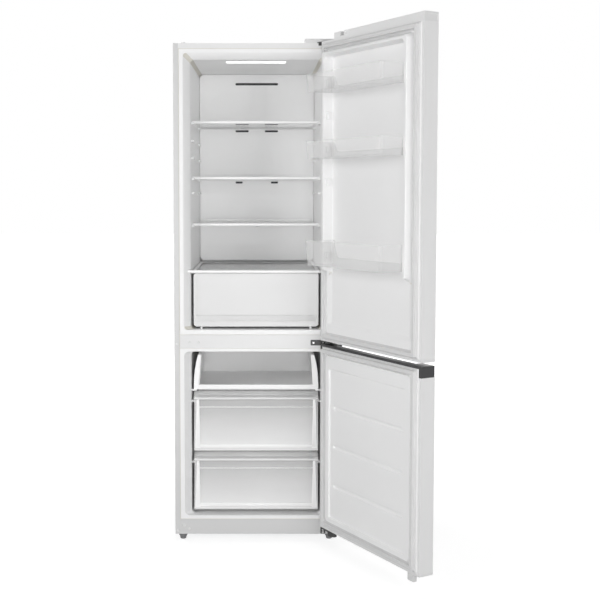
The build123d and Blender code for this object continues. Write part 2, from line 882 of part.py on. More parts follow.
hub_radius = 18
blade_twist = 32
with BuildPart() as evaporator_fan:
    with BuildSketch(front_plane(fan_front)) as hub:
        with Locations((0, fan_level)):
            Circle(hub_radius)
    extrude(hub.sketch, amount=-fan_depth)
    for i in range(fan_blades):
        turn = 360 * i / fan_blades
        root = Plane(
            (0, fan_front + fan_depth / 2, fan_level),
            x_dir=(0, 1, 0),
            z_dir=(cos(radians(turn)), 0, sin(radians(turn))),
        )
        with BuildSketch(root.offset(hub_radius - 3)) as blade_root:
            Rectangle(2, 26, rotation=-blade_twist)
        with BuildSketch(root.offset(fan_radius)) as blade_tip:
            Rectangle(1.6, 30, rotation=-blade_twist - 14)
        loft([blade_root.sketch, blade_tip.sketch], ruled=True)
    with BuildSketch(front_plane(fan_front - 10)) as slab:
        with Locations((0, fan_level)):
            Circle(2 * fan_radius)
    extrude(slab.sketch, amount=10, mode=Mode.SUBTRACT)
    with BuildSketch(front_plane(fan_front)) as disc:
        with Locations((0, fan_level)):
            Circle(fan_radius)
    extrude(disc.sketch, amount=-fan_depth, mode=Mode.INTERSECT)
    with BuildSketch(front_plane(fan_front)) as shaft_bore:
        with Locations((0, fan_level)):
            Circle(shaft_radius + running_clearance)
    extrude(shaft_bore.sketch, amount=-fan_depth, mode=Mode.SUBTRACT)
save(evaporator_fan.part, "evaporator_fan")

# ---------------------------------------------------------------- machine compartment

deck_y = (machine_front, foam_back)
ear_gap = roller_width / 2 + 0.6
ear_z = (roller_radius - 8, deck_top - deck_sheet)
with BuildPart() as compressor_deck:
    bar((-inner_half, inner_half), deck_y, (deck_top - deck_sheet, deck_top))
    for side in (-1, 1):
        bar(side_span(side, inner_half - deck_sheet, inner_half), deck_y, (deck_top, deck_top + 18))
        roller_x = side * (half_width - roller_inset_x)
        for end in (-1, 1):
            ear_x = (roller_x + end * ear_gap, roller_x + end * (ear_gap + ear_sheet))
            bar(tuple(sorted(ear_x)), (roller_y - 12, roller_y + 12), ear_z)
        with BuildSketch(Plane.YZ.offset(roller_x - ear_gap)) as axle:
            with Locations((roller_y, roller_radius)):
                Circle(axle_radius)
        extrude(axle.sketch, amount=2 * ear_gap)
save(compressor_deck.part, "compressor_deck")


def roller(side):
    """Rear roller with its rim rounded off, turning on the axle between the deck's ears."""
    roller_x = side * (half_width - roller_inset_x)
    with BuildPart() as wheel:
        with BuildSketch(Plane.YZ.offset(roller_x - roller_width / 2)) as rim:
            with Locations((roller_y, roller_radius)):
                Circle(roller_radius)
        extrude(rim.sketch, amount=roller_width)
        chamfer(wheel.edges().filter_by(GeomType.CIRCLE), length=2)
        with BuildSketch(Plane.YZ.offset(roller_x - roller_width / 2)) as bore:
            with Locations((roller_y, roller_radius)):
                Circle(axle_radius + running_clearance)
        extrude(bore.sketch, amount=roller_width, mode=Mode.SUBTRACT)
    return wheel.part


save(roller(-1), "rear_roller_left")
save(roller(1), "rear_roller_right")


def levelling_foot(side):
    """Threaded foot: a cone under a round collar, and a stem that turns in the base pan's sleeve."""
    foot_x = side * (half_width - foot_inset_x)
    with BuildPart() as foot:
        with BuildSketch(Plane.XY) as pad:
            with Locations((foot_x, foot_y)):
                Circle(foot_radius)
        with BuildSketch(Plane.XY.offset(foot_cone)) as neck:
            with Locations((foot_x, foot_y)):
                Circle(foot_collar_radius - 2)
        loft([pad.sketch, neck.sketch], ruled=True)
        chamfer(foot.faces().sort_by(Axis.Z)[0].edges(), length=1)
        tube(foot_x, foot_y, (foot_cone, foot_collar), foot_collar_radius)
        chamfer(foot.faces().sort_by(Axis.Z)[-1].edges(), length=1)
        tube(foot_x, foot_y, (foot_collar, sleeve_top - 5), foot_stem)
    return foot.part


save(levelling_foot(-1), "front_foot_left")
save(levelling_foot(1), "front_foot_right")

# Compressor: a round steel can on a base plate, standing on four rubber grommets.
plate_bottom = deck_top + grommet_height
plate_half_x = compressor_radius + 22
plate_half_y = compressor_radius - 8
plate_height = 3
stub_x = compressor_x + compressor_radius + 8
can_bottom = plate_bottom + plate_height
pipe_level = can_bottom + 0.7 * compressor_height
with BuildPart() as compressor:
    can_profile = [(0, 0), (0.84, 0), (0.95, 0.03), (1, 0.09), (1, 0.8), (0.93, 0.9), (0.74, 0.97), (0.4, 1), (0, 1)]
    can_points = [(compressor_x + compressor_radius * r, can_bottom + compressor_height * z) for r, z in can_profile]
    with BuildSketch(front_plane(compressor_y)) as half_can:
        with BuildLine():
            Polyline(*can_points, close=True)
        make_face()
    revolve(half_can.sketch, axis=Axis((compressor_x, compressor_y, 0), (0, 0, 1)))
    bar(
        (compressor_x - plate_half_x, compressor_x + plate_half_x),
        (compressor_y - plate_half_y, compressor_y + plate_half_y),
        (plate_bottom, plate_bottom + plate_height),
    )
    with BuildSketch(Plane.YZ.offset(compressor_x)) as stub:
        with Locations((compressor_y, pipe_level)):
            Circle(pipe_radius + 2)
    extrude(stub.sketch, amount=stub_x - compressor_x)
save(compressor.part, "compressor")

with BuildPart() as compressor_grommets:
    for side_x in (-1, 1):
        for side_y in (-1, 1):
            grommet_x = compressor_x + side_x * (plate_half_x - 12)
            grommet_y = compressor_y + side_y * (plate_half_y - 12)
            tube(grommet_x, grommet_y, (deck_top, plate_bottom), 9)
save(compressor_grommets.part, "compressor_grommets")

# Discharge pipe, from the compressor's stub round the drip tray and up into the roof.
pipe_turn = 6 * pipe_radius
pipe_far_x = inner_half - 60
with BuildPart() as refrigerant_pipe:
    with BuildLine() as pipe_path:
        FilletPolyline(
            (stub_x, compressor_y, pipe_level),
            (stub_x + 70, compressor_y, pipe_level),
            (stub_x + 70, compressor_y + 70, pipe_level),
            (pipe_far_x, compressor_y + 70, pipe_level),
            (pipe_far_x, compressor_y + 70, machine_top),
            radius=pipe_turn,
        )
    with BuildSketch(Plane.YZ.offset(stub_x)) as pipe_section:
        with Locations((compressor_y, pipe_level)):
            RegularPolygon(pipe_radius, 8)
    sweep(pipe_section.sketch, path=pipe_path.wire())
save(refrigerant_pipe.part, "refrigerant_pipe")

tray_x = (stub_x + 40, pipe_far_x + 30)
tray_y = (machine_front + 20, compressor_y + 50)
tray_wall = 2
with BuildPart() as drip_tray:
    bar(tray_x, tray_y, (deck_top, deck_top + 48))
    fillet(drip_tray.edges().filter_by(Axis.Z), radius=14)
    offset(amount=-tray_wall, openings=drip_tray.faces().sort_by(Axis.Z)[-1], kind=Kind.INTERSECTION)
save(drip_tray.part, "drip_tray")

cover_half = half_width - rear_flange
louvre_rows = 9
gland_x = -cover_half + 40
gland_z = deck_top + 34
with BuildPart() as machine_cover:
    bar((-cover_half, cover_half), (foam_back - 0.7, cabinet_depth), (deck_top, machine_top))
    louvre_pitch = (machine_top - deck_top - 40) / (louvre_rows - 1)
    for row in range(louvre_rows):
        louvre_z = deck_top + 20 + row * louvre_pitch
        for louvre_x in ((-170, -20), (20, 170)):
            slot(louvre_x, (louvre_z - 3.5, louvre_z + 3.5), (foam_back - 0.7, cabinet_depth))
    with BuildSketch(front_plane(foam_back - 6)) as gland:
        with Locations((gland_x, gland_z)):
            Circle(13)
    extrude(gland.sketch, amount=-(cabinet_depth - foam_back + 6))
    with BuildSketch(front_plane(foam_back - 6)) as gland_bore:
        with Locations((gland_x, gland_z)):
            Circle(4.5)
    extrude(gland_bore.sketch, amount=-(cabinet_depth - foam_back + 6), mode=Mode.SUBTRACT)
save(machine_cover.part, "machine_cover")

# ---------------------------------------------------------------- hinges

arm_root = (hinge_x - 47.5, hinge_x - 18)


def hinge_arm(z, root_y, root_x=arm_root):
    """Flat arm of a hinge: from its root on the cabinet forward to the eye round the pin."""
    with BuildSketch(Plane.XY.offset(z)) as arm:
        with BuildLine():
            Polyline(
                (root_x[0], root_y),
                (root_x[1], root_y),
                (hinge_x + bracket_eye, hinge_y),
                (hinge_x - bracket_eye, hinge_y),
                close=True,
            )
        make_face()
        with Locations((hinge_x, hinge_y)):
            Circle(bracket_eye)
    extrude(arm.sketch, amount=bracket_sheet)


top_plate_x = (hinge_x - 92, arm_root[1])
top_plate_y = (8, 60)
with BuildPart() as top_hinge_bracket:
    hinge_arm(cabinet_top, top_plate_y[0])
    bar(top_plate_x, top_plate_y, (cabinet_top, cabinet_top + bracket_sheet))
    # lip turned down over the cabinet's front edge
    bar((arm_root[0], arm_root[0] + 15), (-2.5, 0), (cabinet_top - 9, cabinet_top + bracket_sheet))
    tube(
        hinge_x,
        hinge_y,
        (upper_skin_top - pin_reach + 8, cabinet_top + bracket_sheet + 2),
        pin_radius,
    )
save(top_hinge_bracket.part, "top_hinge_bracket")

hood_x = (top_plate_x[0] - 5, half_width - 2)
hood_y = (2, top_plate_y[1] + 6)
hood_height = 16
hood_wall = 2
with BuildPart() as top_hinge_cover:
    bar(hood_x, hood_y, (cabinet_top, cabinet_top + hood_height))
    fillet(top_hinge_cover.edges().filter_by(Axis.Z), radius=5)
    fillet(top_hinge_cover.faces().sort_by(Axis.Z)[-1].edges(), radius=3)
    bar(
        (hood_x[0] + hood_wall, hood_x[1] - hood_wall),
        (hood_y[0] + hood_wall, hood_y[1] - hood_wall),
        (cabinet_top, cabinet_top + hood_height - hood_wall),
        Mode.SUBTRACT,
    )
    # way out for the bracket's plate and arm
    bar(
        (arm_root[0] - 4, hood_x[1]),
        (hood_y[0], top_plate_y[1] + 1),
        (cabinet_top, cabinet_top + bracket_sheet + seat_gap),
        Mode.SUBTRACT,
    )
save(top_hinge_cover.part, "top_hinge_cover")

middle_arm_z = (upper_door_bottom + freezer_door_top) / 2 - bracket_sheet / 2
middle_plate_x = (hinge_x - 73, hinge_x - 19)
middle_plate_z = (middle_arm_z + bracket_sheet - 20, middle_arm_z + bracket_sheet)
plate_sheet = 3
middle_screw_x = (middle_plate_x[0] + 10.5, middle_plate_x[1] - 9)
screw_radius = 2.5
with BuildPart() as middle_hinge_bracket:
    window(middle_plate_x, middle_plate_z, (-plate_sheet, 0), 3)
    hinge_arm(middle_arm_z, -plate_sheet)
    tube(
        hinge_x,
        hinge_y,
        (freezer_door_top - pin_reach + 2, upper_door_bottom + pin_reach - 4),
        pin_radius,
    )
    with BuildSketch(front_plane(-plate_sheet)) as holes:
        with Locations(*[(x, middle(middle_plate_z)) for x in middle_screw_x]):
            Circle(screw_radius + running_clearance)
    extrude(holes.sketch, amount=-plate_sheet, mode=Mode.SUBTRACT)
save(middle_hinge_bracket.part, "middle_hinge_bracket")

bottom_arm_z = freezer_door_bottom - 18
bottom_plate_x = (hinge_x - 34.5, hinge_x - 16.5)
bottom_plate_z = (cabinet_bottom + 2, bottom_arm_z + bracket_sheet)
bottom_screw_z = (bottom_plate_z[0] + 6, bottom_plate_z[1] - 9.5)
bottom_boss_radius = 11
with BuildPart() as bottom_hinge_bracket:
    window(bottom_plate_x, bottom_plate_z, (-plate_sheet, 0), 3)
    hinge_arm(bottom_arm_z, -plate_sheet, bottom_plate_x)
    # boss under the eye, drawn out towards the corner, and the collar that carries the door
    with BuildSketch(Plane.XY.offset(bottom_arm_z - 14)) as eye_boss:
        with Locations((hinge_x, hinge_y), (hinge_x + 11.5, hinge_y - 11)):
            Circle(bottom_boss_radius)
        make_hull()
    extrude(eye_boss.sketch, amount=14)
    collar_z = (bottom_arm_z + bracket_sheet, freezer_door_bottom - seat_gap)
    tube(hinge_x, hinge_y, collar_z, pin_radius + 4)
    tube(hinge_x, hinge_y, (bottom_arm_z, freezer_door_bottom + pin_reach - 3), pin_radius)
    with BuildSketch(front_plane(-plate_sheet)) as holes:
        with Locations(*[(middle(bottom_plate_x), z) for z in bottom_screw_z]):
            Circle(screw_radius + running_clearance)
    extrude(holes.sketch, amount=-plate_sheet, mode=Mode.SUBTRACT)
save(bottom_hinge_bracket.part, "bottom_hinge_bracket")

# Pan-head screws through the middle and the bottom bracket.
screw_places = [(x, middle(middle_plate_z)) for x in middle_screw_x]
screw_places += [(middle(bottom_plate_x), z) for z in bottom_screw_z]
with BuildPart() as hinge_screws:
    for x, z in screw_places:
        with BuildSketch(front_plane(-plate_sheet)) as head:
            with Locations((x, z)):
                Circle(4.2)
        extrude(head.sketch, amount=2.2, taper=12)
        with BuildSketch(front_plane(-plate_sheet)) as shank:
            with Locations((x, z)):
                Circle(screw_radius)
        extrude(shank.sketch, amount=-plate_sheet)
save(hinge_screws.part, "hinge_screws")

# Round plugs that close the hinge holes of the other side.
cap_places = ((-244, 742), (-212, 742), (-290.5, 736), (-267, 57), (-248, 45), (-290.5, 39))
cap_radius = 5
cap_height = 2
with BuildPart() as plug_caps:
    for x, z in cap_places:
        with BuildSketch(front_plane(0)) as cap:
            with Locations((x, z)):
                Circle(cap_radius)
        extrude(cap.sketch, amount=cap_height, taper=30)
    tube(-hinge_x + 10, 12, (cabinet_top, cabinet_top + 4), 8)
save(plug_caps.part, "plug_caps")


# ---------------------------------------------------------------- door parts in common


def door_block(inset, z, inner=door_inner):
    """A door's plan between two heights, drawn in by inset, with rounded front corners."""
    half = door_half - inset
    front = door_front_y + inset
    with BuildPart() as block:
        bar((-half, half), (front, inner), z)
        front_corners = block.edges().filter_by(Axis.Z).group_by(Axis.Y)[0]
        fillet(front_corners, radius=door_edge_radius - inset)
    return block.part


def door_skin(z):
    """Folded steel front of a door: face, two sides and the hems on the inner face."""
    with BuildPart() as shell:
        add(door_block(0, z))
        add(door_block(steel, z, foam_inner), mode=Mode.SUBTRACT)
        bar((-liner_edge, liner_edge), (foam_inner, door_inner), z, Mode.SUBTRACT)
    return shell.part


def gasket(z):
    """Magnetic seal: a flat foot on the door and a rounder bulb that meets the cabinet."""
    outer = door_half - gasket_margin
    low, high = z
    with BuildPart() as ring:
        for inset, y, radius in (
            (0, (door_inner, door_inner + gasket_foot), 4),
            (gasket_bulb_inset, (door_inner + gasket_foot, -seal_gap), 3),
        ):
            width = gasket_width - 2 * inset
            half = outer - inset
            span = (low + inset, high - inset)
            window((-half, half), span, y, radius)
            window(
                (-half + width, half - width),
                (span[0] + width, span[1] - width),
                y,
                radius,
                Mode.SUBTRACT,
            )
        fillet(ring.faces().sort_by(Axis.Y)[-1].edges(), radius=2)
    return ring.part


def pin_boss(z, bore, mode=Mode.ADD):
    """Boss round a hinge pin, and its bore."""
    tube(hinge_x, hinge_y, z, boss_radius, mode)
    if mode == Mode.ADD:
        tube(hinge_x, hinge_y, bore, bore_radius, Mode.SUBTRACT)


boss_radius = 9

# ---------------------------------------------------------------- upper door

upper_foam_z = (upper_skin_bottom, upper_skin_top)
dike_half = door_half - dike_margin
dike_inner = dike_half - dike_slope - dike_top_width
recess_half = dike_inner - dike_slope
dike_foot_top = upper_skin_top - 25
dike_crest_top = dike_foot_top - 14
top_boss_bottom = upper_skin_top - pin_reach + 4
bottom_boss_top = upper_skin_bottom + pin_reach - 6


def upper_door_core(sink, half, inner):
    """All that lies behind the liner's face, when that face is moved sink into the door:
    a flat slab, the dike that stands into the cabinet, and the recess inside the dike."""
    crest = door_inner + dike_height - sink
    floor = door_inner - recess_depth - sink
    with BuildPart() as core:
        bar((-half, half), (door_front_y + steel, inner), upper_foam_z)
        funnel(
            (inner, dike_half - sink, dike_foot_bottom + sink, dike_foot_top - sink, 24),
            (crest, dike_half - dike_slope - sink, dike_foot_bottom + dike_height, dike_crest_top - sink, 24),
        )
        funnel(
            (floor, recess_half + sink, dike_foot_bottom - 13, dike_crest_top - dike_top_width + sink, 16),
            (crest, dike_inner + sink, dike_foot_bottom - 13, dike_crest_top - dike_top_width + 4 + sink, 16),
            Mode.SUBTRACT,
        )
        funnel(
            (
                floor,
                recess_half + sink,
                lower_recess_bottom + lower_recess_slope - sink,
                dike_foot_bottom + lower_recess_slope,
                16,
            ),
            (inner, dike_half - 2 + sink, lower_recess_bottom - sink, dike_foot_bottom - 1, 20),
            Mode.SUBTRACT,
        )
    return core.part


with BuildPart() as upper_door_foam:
    add(upper_door_core(skin, foam_half, foam_inner))
    add(door_block(steel, upper_foam_z, door_inner + dike_height), mode=Mode.INTERSECT)
    pin_boss((top_boss_bottom, upper_skin_top), None, Mode.SUBTRACT)
    pin_boss((upper_skin_bottom, bottom_boss_top), None, Mode.SUBTRACT)
hang(upper_door_foam.part, "upper_door_foam")

lug_levels = [level + lug_lift for level, height in balcony_levels.values()]
lug_levels += [level - lug_height / 2 for level in spare_lug_levels]
lug_y = (door_inner + lug_setback, door_inner + lug_setback + lug_width)
lug_tip = dike_inner - lug_reach - 4
with BuildPart() as upper_door_liner:
    add(upper_door_core(0, liner_edge - 0.4, door_inner))
    for level in lug_levels:
        for side in (-1, 1):
            bar(side_span(side, lug_tip, dike_inner + 4), lug_y, (level, level + lug_height))
    add(upper_door_core(skin, foam_half, foam_inner), mode=Mode.SUBTRACT)
hang(upper_door_liner.part, "upper_door_liner")

hang(door_skin(upper_foam_z), "upper_door_skin")

upper_gasket_z = (upper_skin_bottom + 2, dike_foot_top + 0.5 + gasket_width)
hang(gasket(upper_gasket_z), "upper_door_gasket")

# Top cap: lowered over the hinge arm, with a slot beside it, a shallow pocket on its free
# end and one on its inner face.
notch_x = hinge_x - 58.5
slot_x = (hinge_x - 119.5, hinge_x - 98.5)
notch_floor = cabinet_top - 1.5
pocket_depth = 2
with BuildPart() as upper_door_top_cap:
    add(door_block(0, (upper_skin_top, upper_door_top)))
    top_edges = upper_door_top_cap.faces().sort_by(Axis.Z)[-1].edges()
    fillet(top_edges, radius=2)
    bar((notch_x, half_width), (door_front_y, 0), (notch_floor, upper_door_top), Mode.SUBTRACT)
    bar(
        (-door_half, -door_half + pocket_depth),
        (door_front_y + 7, door_inner - 7),
        (upper_skin_top + 3, upper_door_top - 6),
        Mode.SUBTRACT,
    )
    bar((65, 145), (door_inner - pocket_depth, door_inner), (cabinet_top, upper_door_top - 5), Mode.SUBTRACT)
    bar(slot_x, (door_inner - 40, door_inner), (cabinet_top + 4, upper_door_top), Mode.SUBTRACT)
    pin_boss((top_boss_bottom, notch_floor), (top_boss_bottom + 2, notch_floor))
hang(upper_door_top_cap.part, "upper_door_top_cap")

with BuildPart() as upper_door_bottom_cap:
    add(door_block(0, (upper_door_bottom, upper_skin_bottom)))
    fillet(upper_door_bottom_cap.faces().sort_by(Axis.Z)[0].edges(), radius=2)
    pin_boss((upper_door_bottom, bottom_boss_top), (upper_door_bottom, bottom_boss_top - 2))
hang(upper_door_bottom_cap.part, "upper_door_bottom_cap")

# Balconies: clear tubs with leaning walls, hung on the lugs by slots in their ends.
balcony_half = recess_half - balcony_side_gap
balcony_y = (door_inner - recess_depth + 0.8, door_inner + balcony_depth)
back_wall_height = 25


def balcony(level, height):
    wall = balcony_wall
    back, front = balcony_y
    with BuildPart() as tub:
        basin(
            (level, balcony_half - balcony_draft, back, front - balcony_draft, balcony_corner),
            (level + height, balcony_half, back, front, balcony_corner),
        )
        basin(
            (
                level + wall,
                balcony_half - balcony_draft - wall,
                back + wall,
                front - balcony_draft - wall,
                balcony_corner - wall,
            ),
            (level + height, balcony_half - wall, back + wall, front - wall, balcony_corner - wall),
            Mode.SUBTRACT,
        )
        bar(
            (-balcony_half + balcony_corner, balcony_half - balcony_corner),
            (back, back + wall),
            (level + back_wall_height, level + height),
            Mode.SUBTRACT,
        )
        for side in (-1, 1):
            bar(
                side_span(side, lug_tip - 2, balcony_half),
                (lug_y[0] - seat_gap, lug_y[1] + seat_gap),
                (level, level + lug_lift + lug_height + seat_gap),
                Mode.SUBTRACT,
            )
    return tub.part


for name, (level, height) in balcony_levels.items():
    hang(balcony(level, height), name)

# ---------------------------------------------------------------- freezer door

grip_front = door_front_y + 4.2
grip_back = grip_front + 26.5
grip_wall = 2.5
grip_half = 235
lip_height = 17
liner_top = freezer_door_top - 9
gasket_top = liner_top - 1
grip_foam_top = freezer_door_top - grip_wall
freezer_foam_z = (freezer_skin_bottom, freezer_skin_top)

# Grip: a black profile along the top of the door, with a finger channel behind a lip.
with BuildPart() as freezer_door_grip:
    bar((-door_half, door_half), (grip_front, foam_inner), (freezer_skin_top, freezer_door_top))
    bar((-door_half, door_half), (foam_inner, door_inner), (liner_top, freezer_door_top))
    for side in (-1, 1):
        bar(side_span(side, liner_edge, door_half), (foam_inner, door_inner), (freezer_skin_top, liner_top))
    lip_top = freezer_skin_top + lip_height
    lip_back = grip_front + 5
    channel_floor = freezer_skin_top + 5
    with BuildSketch(Plane.YZ.offset(-grip_half)) as channel:
        with BuildLine():
            Line((door_front_y, lip_top), (lip_back, lip_top))
            Line((lip_back, lip_top), (lip_back, lip_top - 5))
            ThreePointArc(
                (lip_back, lip_top - 5),
                ((lip_back + grip_back) / 2, channel_floor),
                (grip_back, lip_top - 3),
            )
            Line((grip_back, lip_top - 3), (grip_back, freezer_door_top + 1))
            Line((grip_back, freezer_door_top + 1), (door_front_y, freezer_door_top + 1))
            Line((door_front_y, freezer_door_top + 1), (door_front_y, lip_top))
        make_face()
    extrude(channel.sketch, amount=2 * grip_half, mode=Mode.SUBTRACT)
    # the foam of the door rises behind the channel
    bar(
        (-grip_half, grip_half),
        (grip_back + grip_wall, foam_inner),
        (freezer_skin_top, grip_foam_top),
        Mode.SUBTRACT,
    )
    tube(
        hinge_x,
        hinge_y,
        (freezer_door_top - pin_reach, freezer_door_top),
        bore_radius,
        Mode.SUBTRACT,
    )
hang(freezer_door_grip.part, "freezer_door_grip")

plateau_half = door_half - dike_margin
plateau_z = (freezer_skin_bottom + 4 + gasket_width, gasket_top - gasket_width)
panel_half = plateau_half - panel_border
panel_z = (plateau_z[0] + 17, plateau_z[1] - 47)
rib_half = door_half - rib_margin


def freezer_door_core(sink, half, inner):
    """All that lies behind the freezer door's liner: a slab with a low plateau,
    a shallow panel sunk into the plateau, and three sunk ribs across the panel."""
    crest = door_inner + plateau_height - sink
    floor = crest - panel_recess
    with BuildPart() as core:
        bar((-half, half), (door_front_y + steel, inner), freezer_foam_z)
        bar((-grip_half, grip_half), (grip_back + grip_wall, inner), (freezer_skin_top, grip_foam_top))
        funnel(
            (inner, plateau_half - sink, plateau_z[0] + sink, plateau_z[1] - sink, 16),
            (
                crest,
                plateau_half - plateau_margin - sink,
                plateau_z[0] + plateau_margin + sink,
                plateau_z[1] - plateau_margin - sink,
                16,
            ),
        )
        funnel(
            (floor, panel_half - 3 + sink, panel_z[0] + 3 - sink, panel_z[1] - 3 + sink, 8),
            (crest, panel_half + sink, panel_z[0] - sink, panel_z[1] + sink, 10),
            Mode.SUBTRACT,
        )
        for level in rib_levels:
            window(
                (-rib_half - sink, rib_half + sink),
                (level - rib_height / 2 - sink, level + rib_height / 2 + sink),
                (floor - rib_depth, floor),
                0.45 * rib_height,
                Mode.SUBTRACT,
            )
    return core.part


with BuildPart() as freezer_door_foam:
    add(freezer_door_core(skin, foam_half, foam_inner))
    add(
        door_block(steel, (freezer_skin_bottom, freezer_door_top), door_inner + plateau_height),
        mode=Mode.INTERSECT,
    )
    pin_boss((freezer_skin_bottom, freezer_skin_bottom + 14), None, Mode.SUBTRACT)
hang(freezer_door_foam.part, "freezer_door_foam")

with BuildPart() as freezer_door_liner:
    add(freezer_door_core(0, liner_edge - 0.4, door_inner))
    bar(
        (-liner_edge + 0.4, liner_edge - 0.4),
        (foam_inner, door_inner),
        (freezer_skin_top, liner_top),
    )
    add(freezer_door_core(skin, foam_half, foam_inner), mode=Mode.SUBTRACT)
    bar((-half_width, half_width), (foam_inner, 0), (liner_top, freezer_door_top), Mode.SUBTRACT)
hang(freezer_door_liner.part, "freezer_door_liner")

hang(door_skin(freezer_foam_z), "freezer_door_skin")

freezer_gasket_z = (freezer_skin_bottom + 4, gasket_top)
hang(gasket(freezer_gasket_z), "freezer_door_gasket")

with BuildPart() as freezer_door_bottom_cap:
    add(door_block(0, (freezer_door_bottom, freezer_skin_bottom)))
    fillet(freezer_door_bottom_cap.faces().sort_by(Axis.Z)[0].edges(), radius=2)
    pin_boss((freezer_door_bottom, freezer_skin_bottom + 14), (freezer_door_bottom, freezer_skin_bottom + 12))
hang(freezer_door_bottom_cap.part, "freezer_door_bottom_cap")

# Rest block under the free end of the freezer door.
block_x = (-door_half + 32, -door_half + 63)
block_y = (door_inner - 17, door_inner)
block_height = 26
with BuildPart() as freezer_door_rest:
    bar(block_x, block_y, (freezer_door_bottom - block_height, freezer_door_bottom))
    fillet(freezer_door_rest.edges().filter_by(Axis.Z), radius=3)
    chamfer(freezer_door_rest.faces().sort_by(Axis.Z)[0].edges(), length=2)
hang(freezer_door_rest.part, "freezer_door_rest")
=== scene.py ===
"""Looks of a free-standing refrigerator with the freezer at the bottom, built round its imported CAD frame."""

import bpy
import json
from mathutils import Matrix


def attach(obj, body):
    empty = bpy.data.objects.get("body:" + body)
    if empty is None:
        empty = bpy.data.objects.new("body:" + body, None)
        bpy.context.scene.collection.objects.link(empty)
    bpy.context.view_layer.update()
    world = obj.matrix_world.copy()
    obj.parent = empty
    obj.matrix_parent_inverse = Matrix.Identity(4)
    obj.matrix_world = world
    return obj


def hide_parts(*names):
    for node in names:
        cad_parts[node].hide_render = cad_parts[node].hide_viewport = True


bl_info = {
    "name": "Bottom Freezer Refrigerator",
    "version": (1, 0, 0),
    "blender": (4, 5, 0),
    "location": "View3D > Sidebar > Refrigerator",
    "description": "Seals, liners, balconies, trims and finishes of a bottom freezer refrigerator",
    "category": "Add Mesh",
}

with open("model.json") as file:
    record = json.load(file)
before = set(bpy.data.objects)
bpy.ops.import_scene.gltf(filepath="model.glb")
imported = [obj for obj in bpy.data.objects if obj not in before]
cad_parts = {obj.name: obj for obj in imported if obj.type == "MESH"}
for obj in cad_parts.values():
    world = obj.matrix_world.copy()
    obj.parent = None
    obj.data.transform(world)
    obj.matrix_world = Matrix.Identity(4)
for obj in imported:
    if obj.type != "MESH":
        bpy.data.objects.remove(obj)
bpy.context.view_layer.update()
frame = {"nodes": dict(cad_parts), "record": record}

import json
import math

import bmesh
import bpy
import numpy as np
from mathutils import Vector

NODES = frame["nodes"]
SLOT_OF = {part["node"]: part["material_slot"] for part in frame["record"]["subparts"]}

# ---------------------------------------------------------------- places, in millimetres
# The doors' pieces are worked out with the door closed and then swung open about the hinge pins.

HINGE = (273.5, -46.2)
OPEN_ANGLE = math.radians(119)
DOOR_INNER = -15.2
LINER_EDGE = 284.6
SKIN = 1.5

# seals: half width of their outer outline, width of the profile, and bottom and top at each door
SEAL_HALF = 280
SEAL_WIDTH = 24
SEALS = {"upper_door": (766, 1819.5), "freezer_door": (78, 734)}

# forms of the door liners: half width, bottom and top, corner radius, and slopes at the side, bottom and top
DIKE = (252, (1003, 1795), 24, (5, 31, 14))
RECESS = (234, (990, 1772), 20, (5, 13, 4))
LOWER_RECESS = (250, (816, 1018), 20, (21, 15, 16))
PLATEAU = (252, (102, 710), 16, (1.8, 1.8, 1.8))
SUNK_PANEL = (229, (119, 663), 10, (3, 3, 3))
RECESS_DEPTH, PLATEAU_HEIGHT, PANEL_DEPTH = 6, 8, 6

# ribs of the freezer door's liner: heights, and the half length, depth, half width and slope of each
RIB_LEVELS = (524, 383, 241)
RIB_END, RIB_DEPTH, RIB_HALF, RIB_SLOPE = 199, 4.4, 7.8, 4.2

# y, half width, bottom, top and corner radius of the fridge room's rings, from the flange to the back
ROOM_RINGS = (
    (1.5, 279.5, 771.5, 1809.5, 3.0),
    (0.5, 279.5, 771.5, 1809.5, 3.0),
    (0.0, 279.0, 772.0, 1809.0, 3.0),
    (0.0, 267.0, 786.6, 1799.0, 11.0),
    (0.35, 265.1, 788.0, 1797.1, 10.0),
    (1.5, 263.2, 788.9, 1795.0, 9.0),
    (25.0, 242.6, 789.0, 1775.5, 9.0),
    (28.5, 240.6, 789.0, 1773.6, 9.0),
    (33.0, 239.95, 789.0, 1773.0, 9.0),
    (507.0, 234.2, 789.0, 1773.0, 9.0),
    (514.0, 232.8, 790.4, 1771.6, 9.0),
    (519.8, 229.0, 794.2, 1767.8, 8.0),
    (523.6, 223.4, 799.8, 1762.2, 6.0),
    (525.0, 216.0, 807.0, 1755.0, 4.0),
)
SHELF_LEVELS = (1557, 1350, 1176)
LEDGE_TOPS = (1553, 1346, 1172, 1488, 1424, 1294)
COVER_LEDGE_TOP = 997
LEDGE_SPANS = ((84, 150), (400, 466))
LEDGE_INNER = 229
RAIL_X, RAIL_Y, RAIL_Z = (198.5, 206.5), (36, 465), (788, 796.7)
GLASS = 4
# sections of the shelf trims, in y and height above the shelf's level; the glass sits in the jaw between
# the last points and the first
FRONT_TRIM = (
    (117, 0.1), (117, 1.6), (116.4, 2), (104, 2), (101.2, 1.4), (99.5, -0.4), (99, -2.8), (99, -4.6),
    (99.7, -7), (101.6, -8.6), (104, -9), (116.4, -9), (117, -8.4), (117, -GLASS - 0.1),
    (109, -GLASS - 0.1), (109, 0.1),
)
REAR_TRIM = (
    (464, 0.1), (464, 1.6), (464.6, 2), (476, 2), (477.6, 3.2), (478.6, 9.4), (479.4, 10), (481.4, 10),
    (482, 9.2), (482, -5.2), (481.2, -6), (464.8, -6), (464, -5.3), (464, -GLASS - 0.1),
    (472, -GLASS - 0.1), (472, 0.1),
)
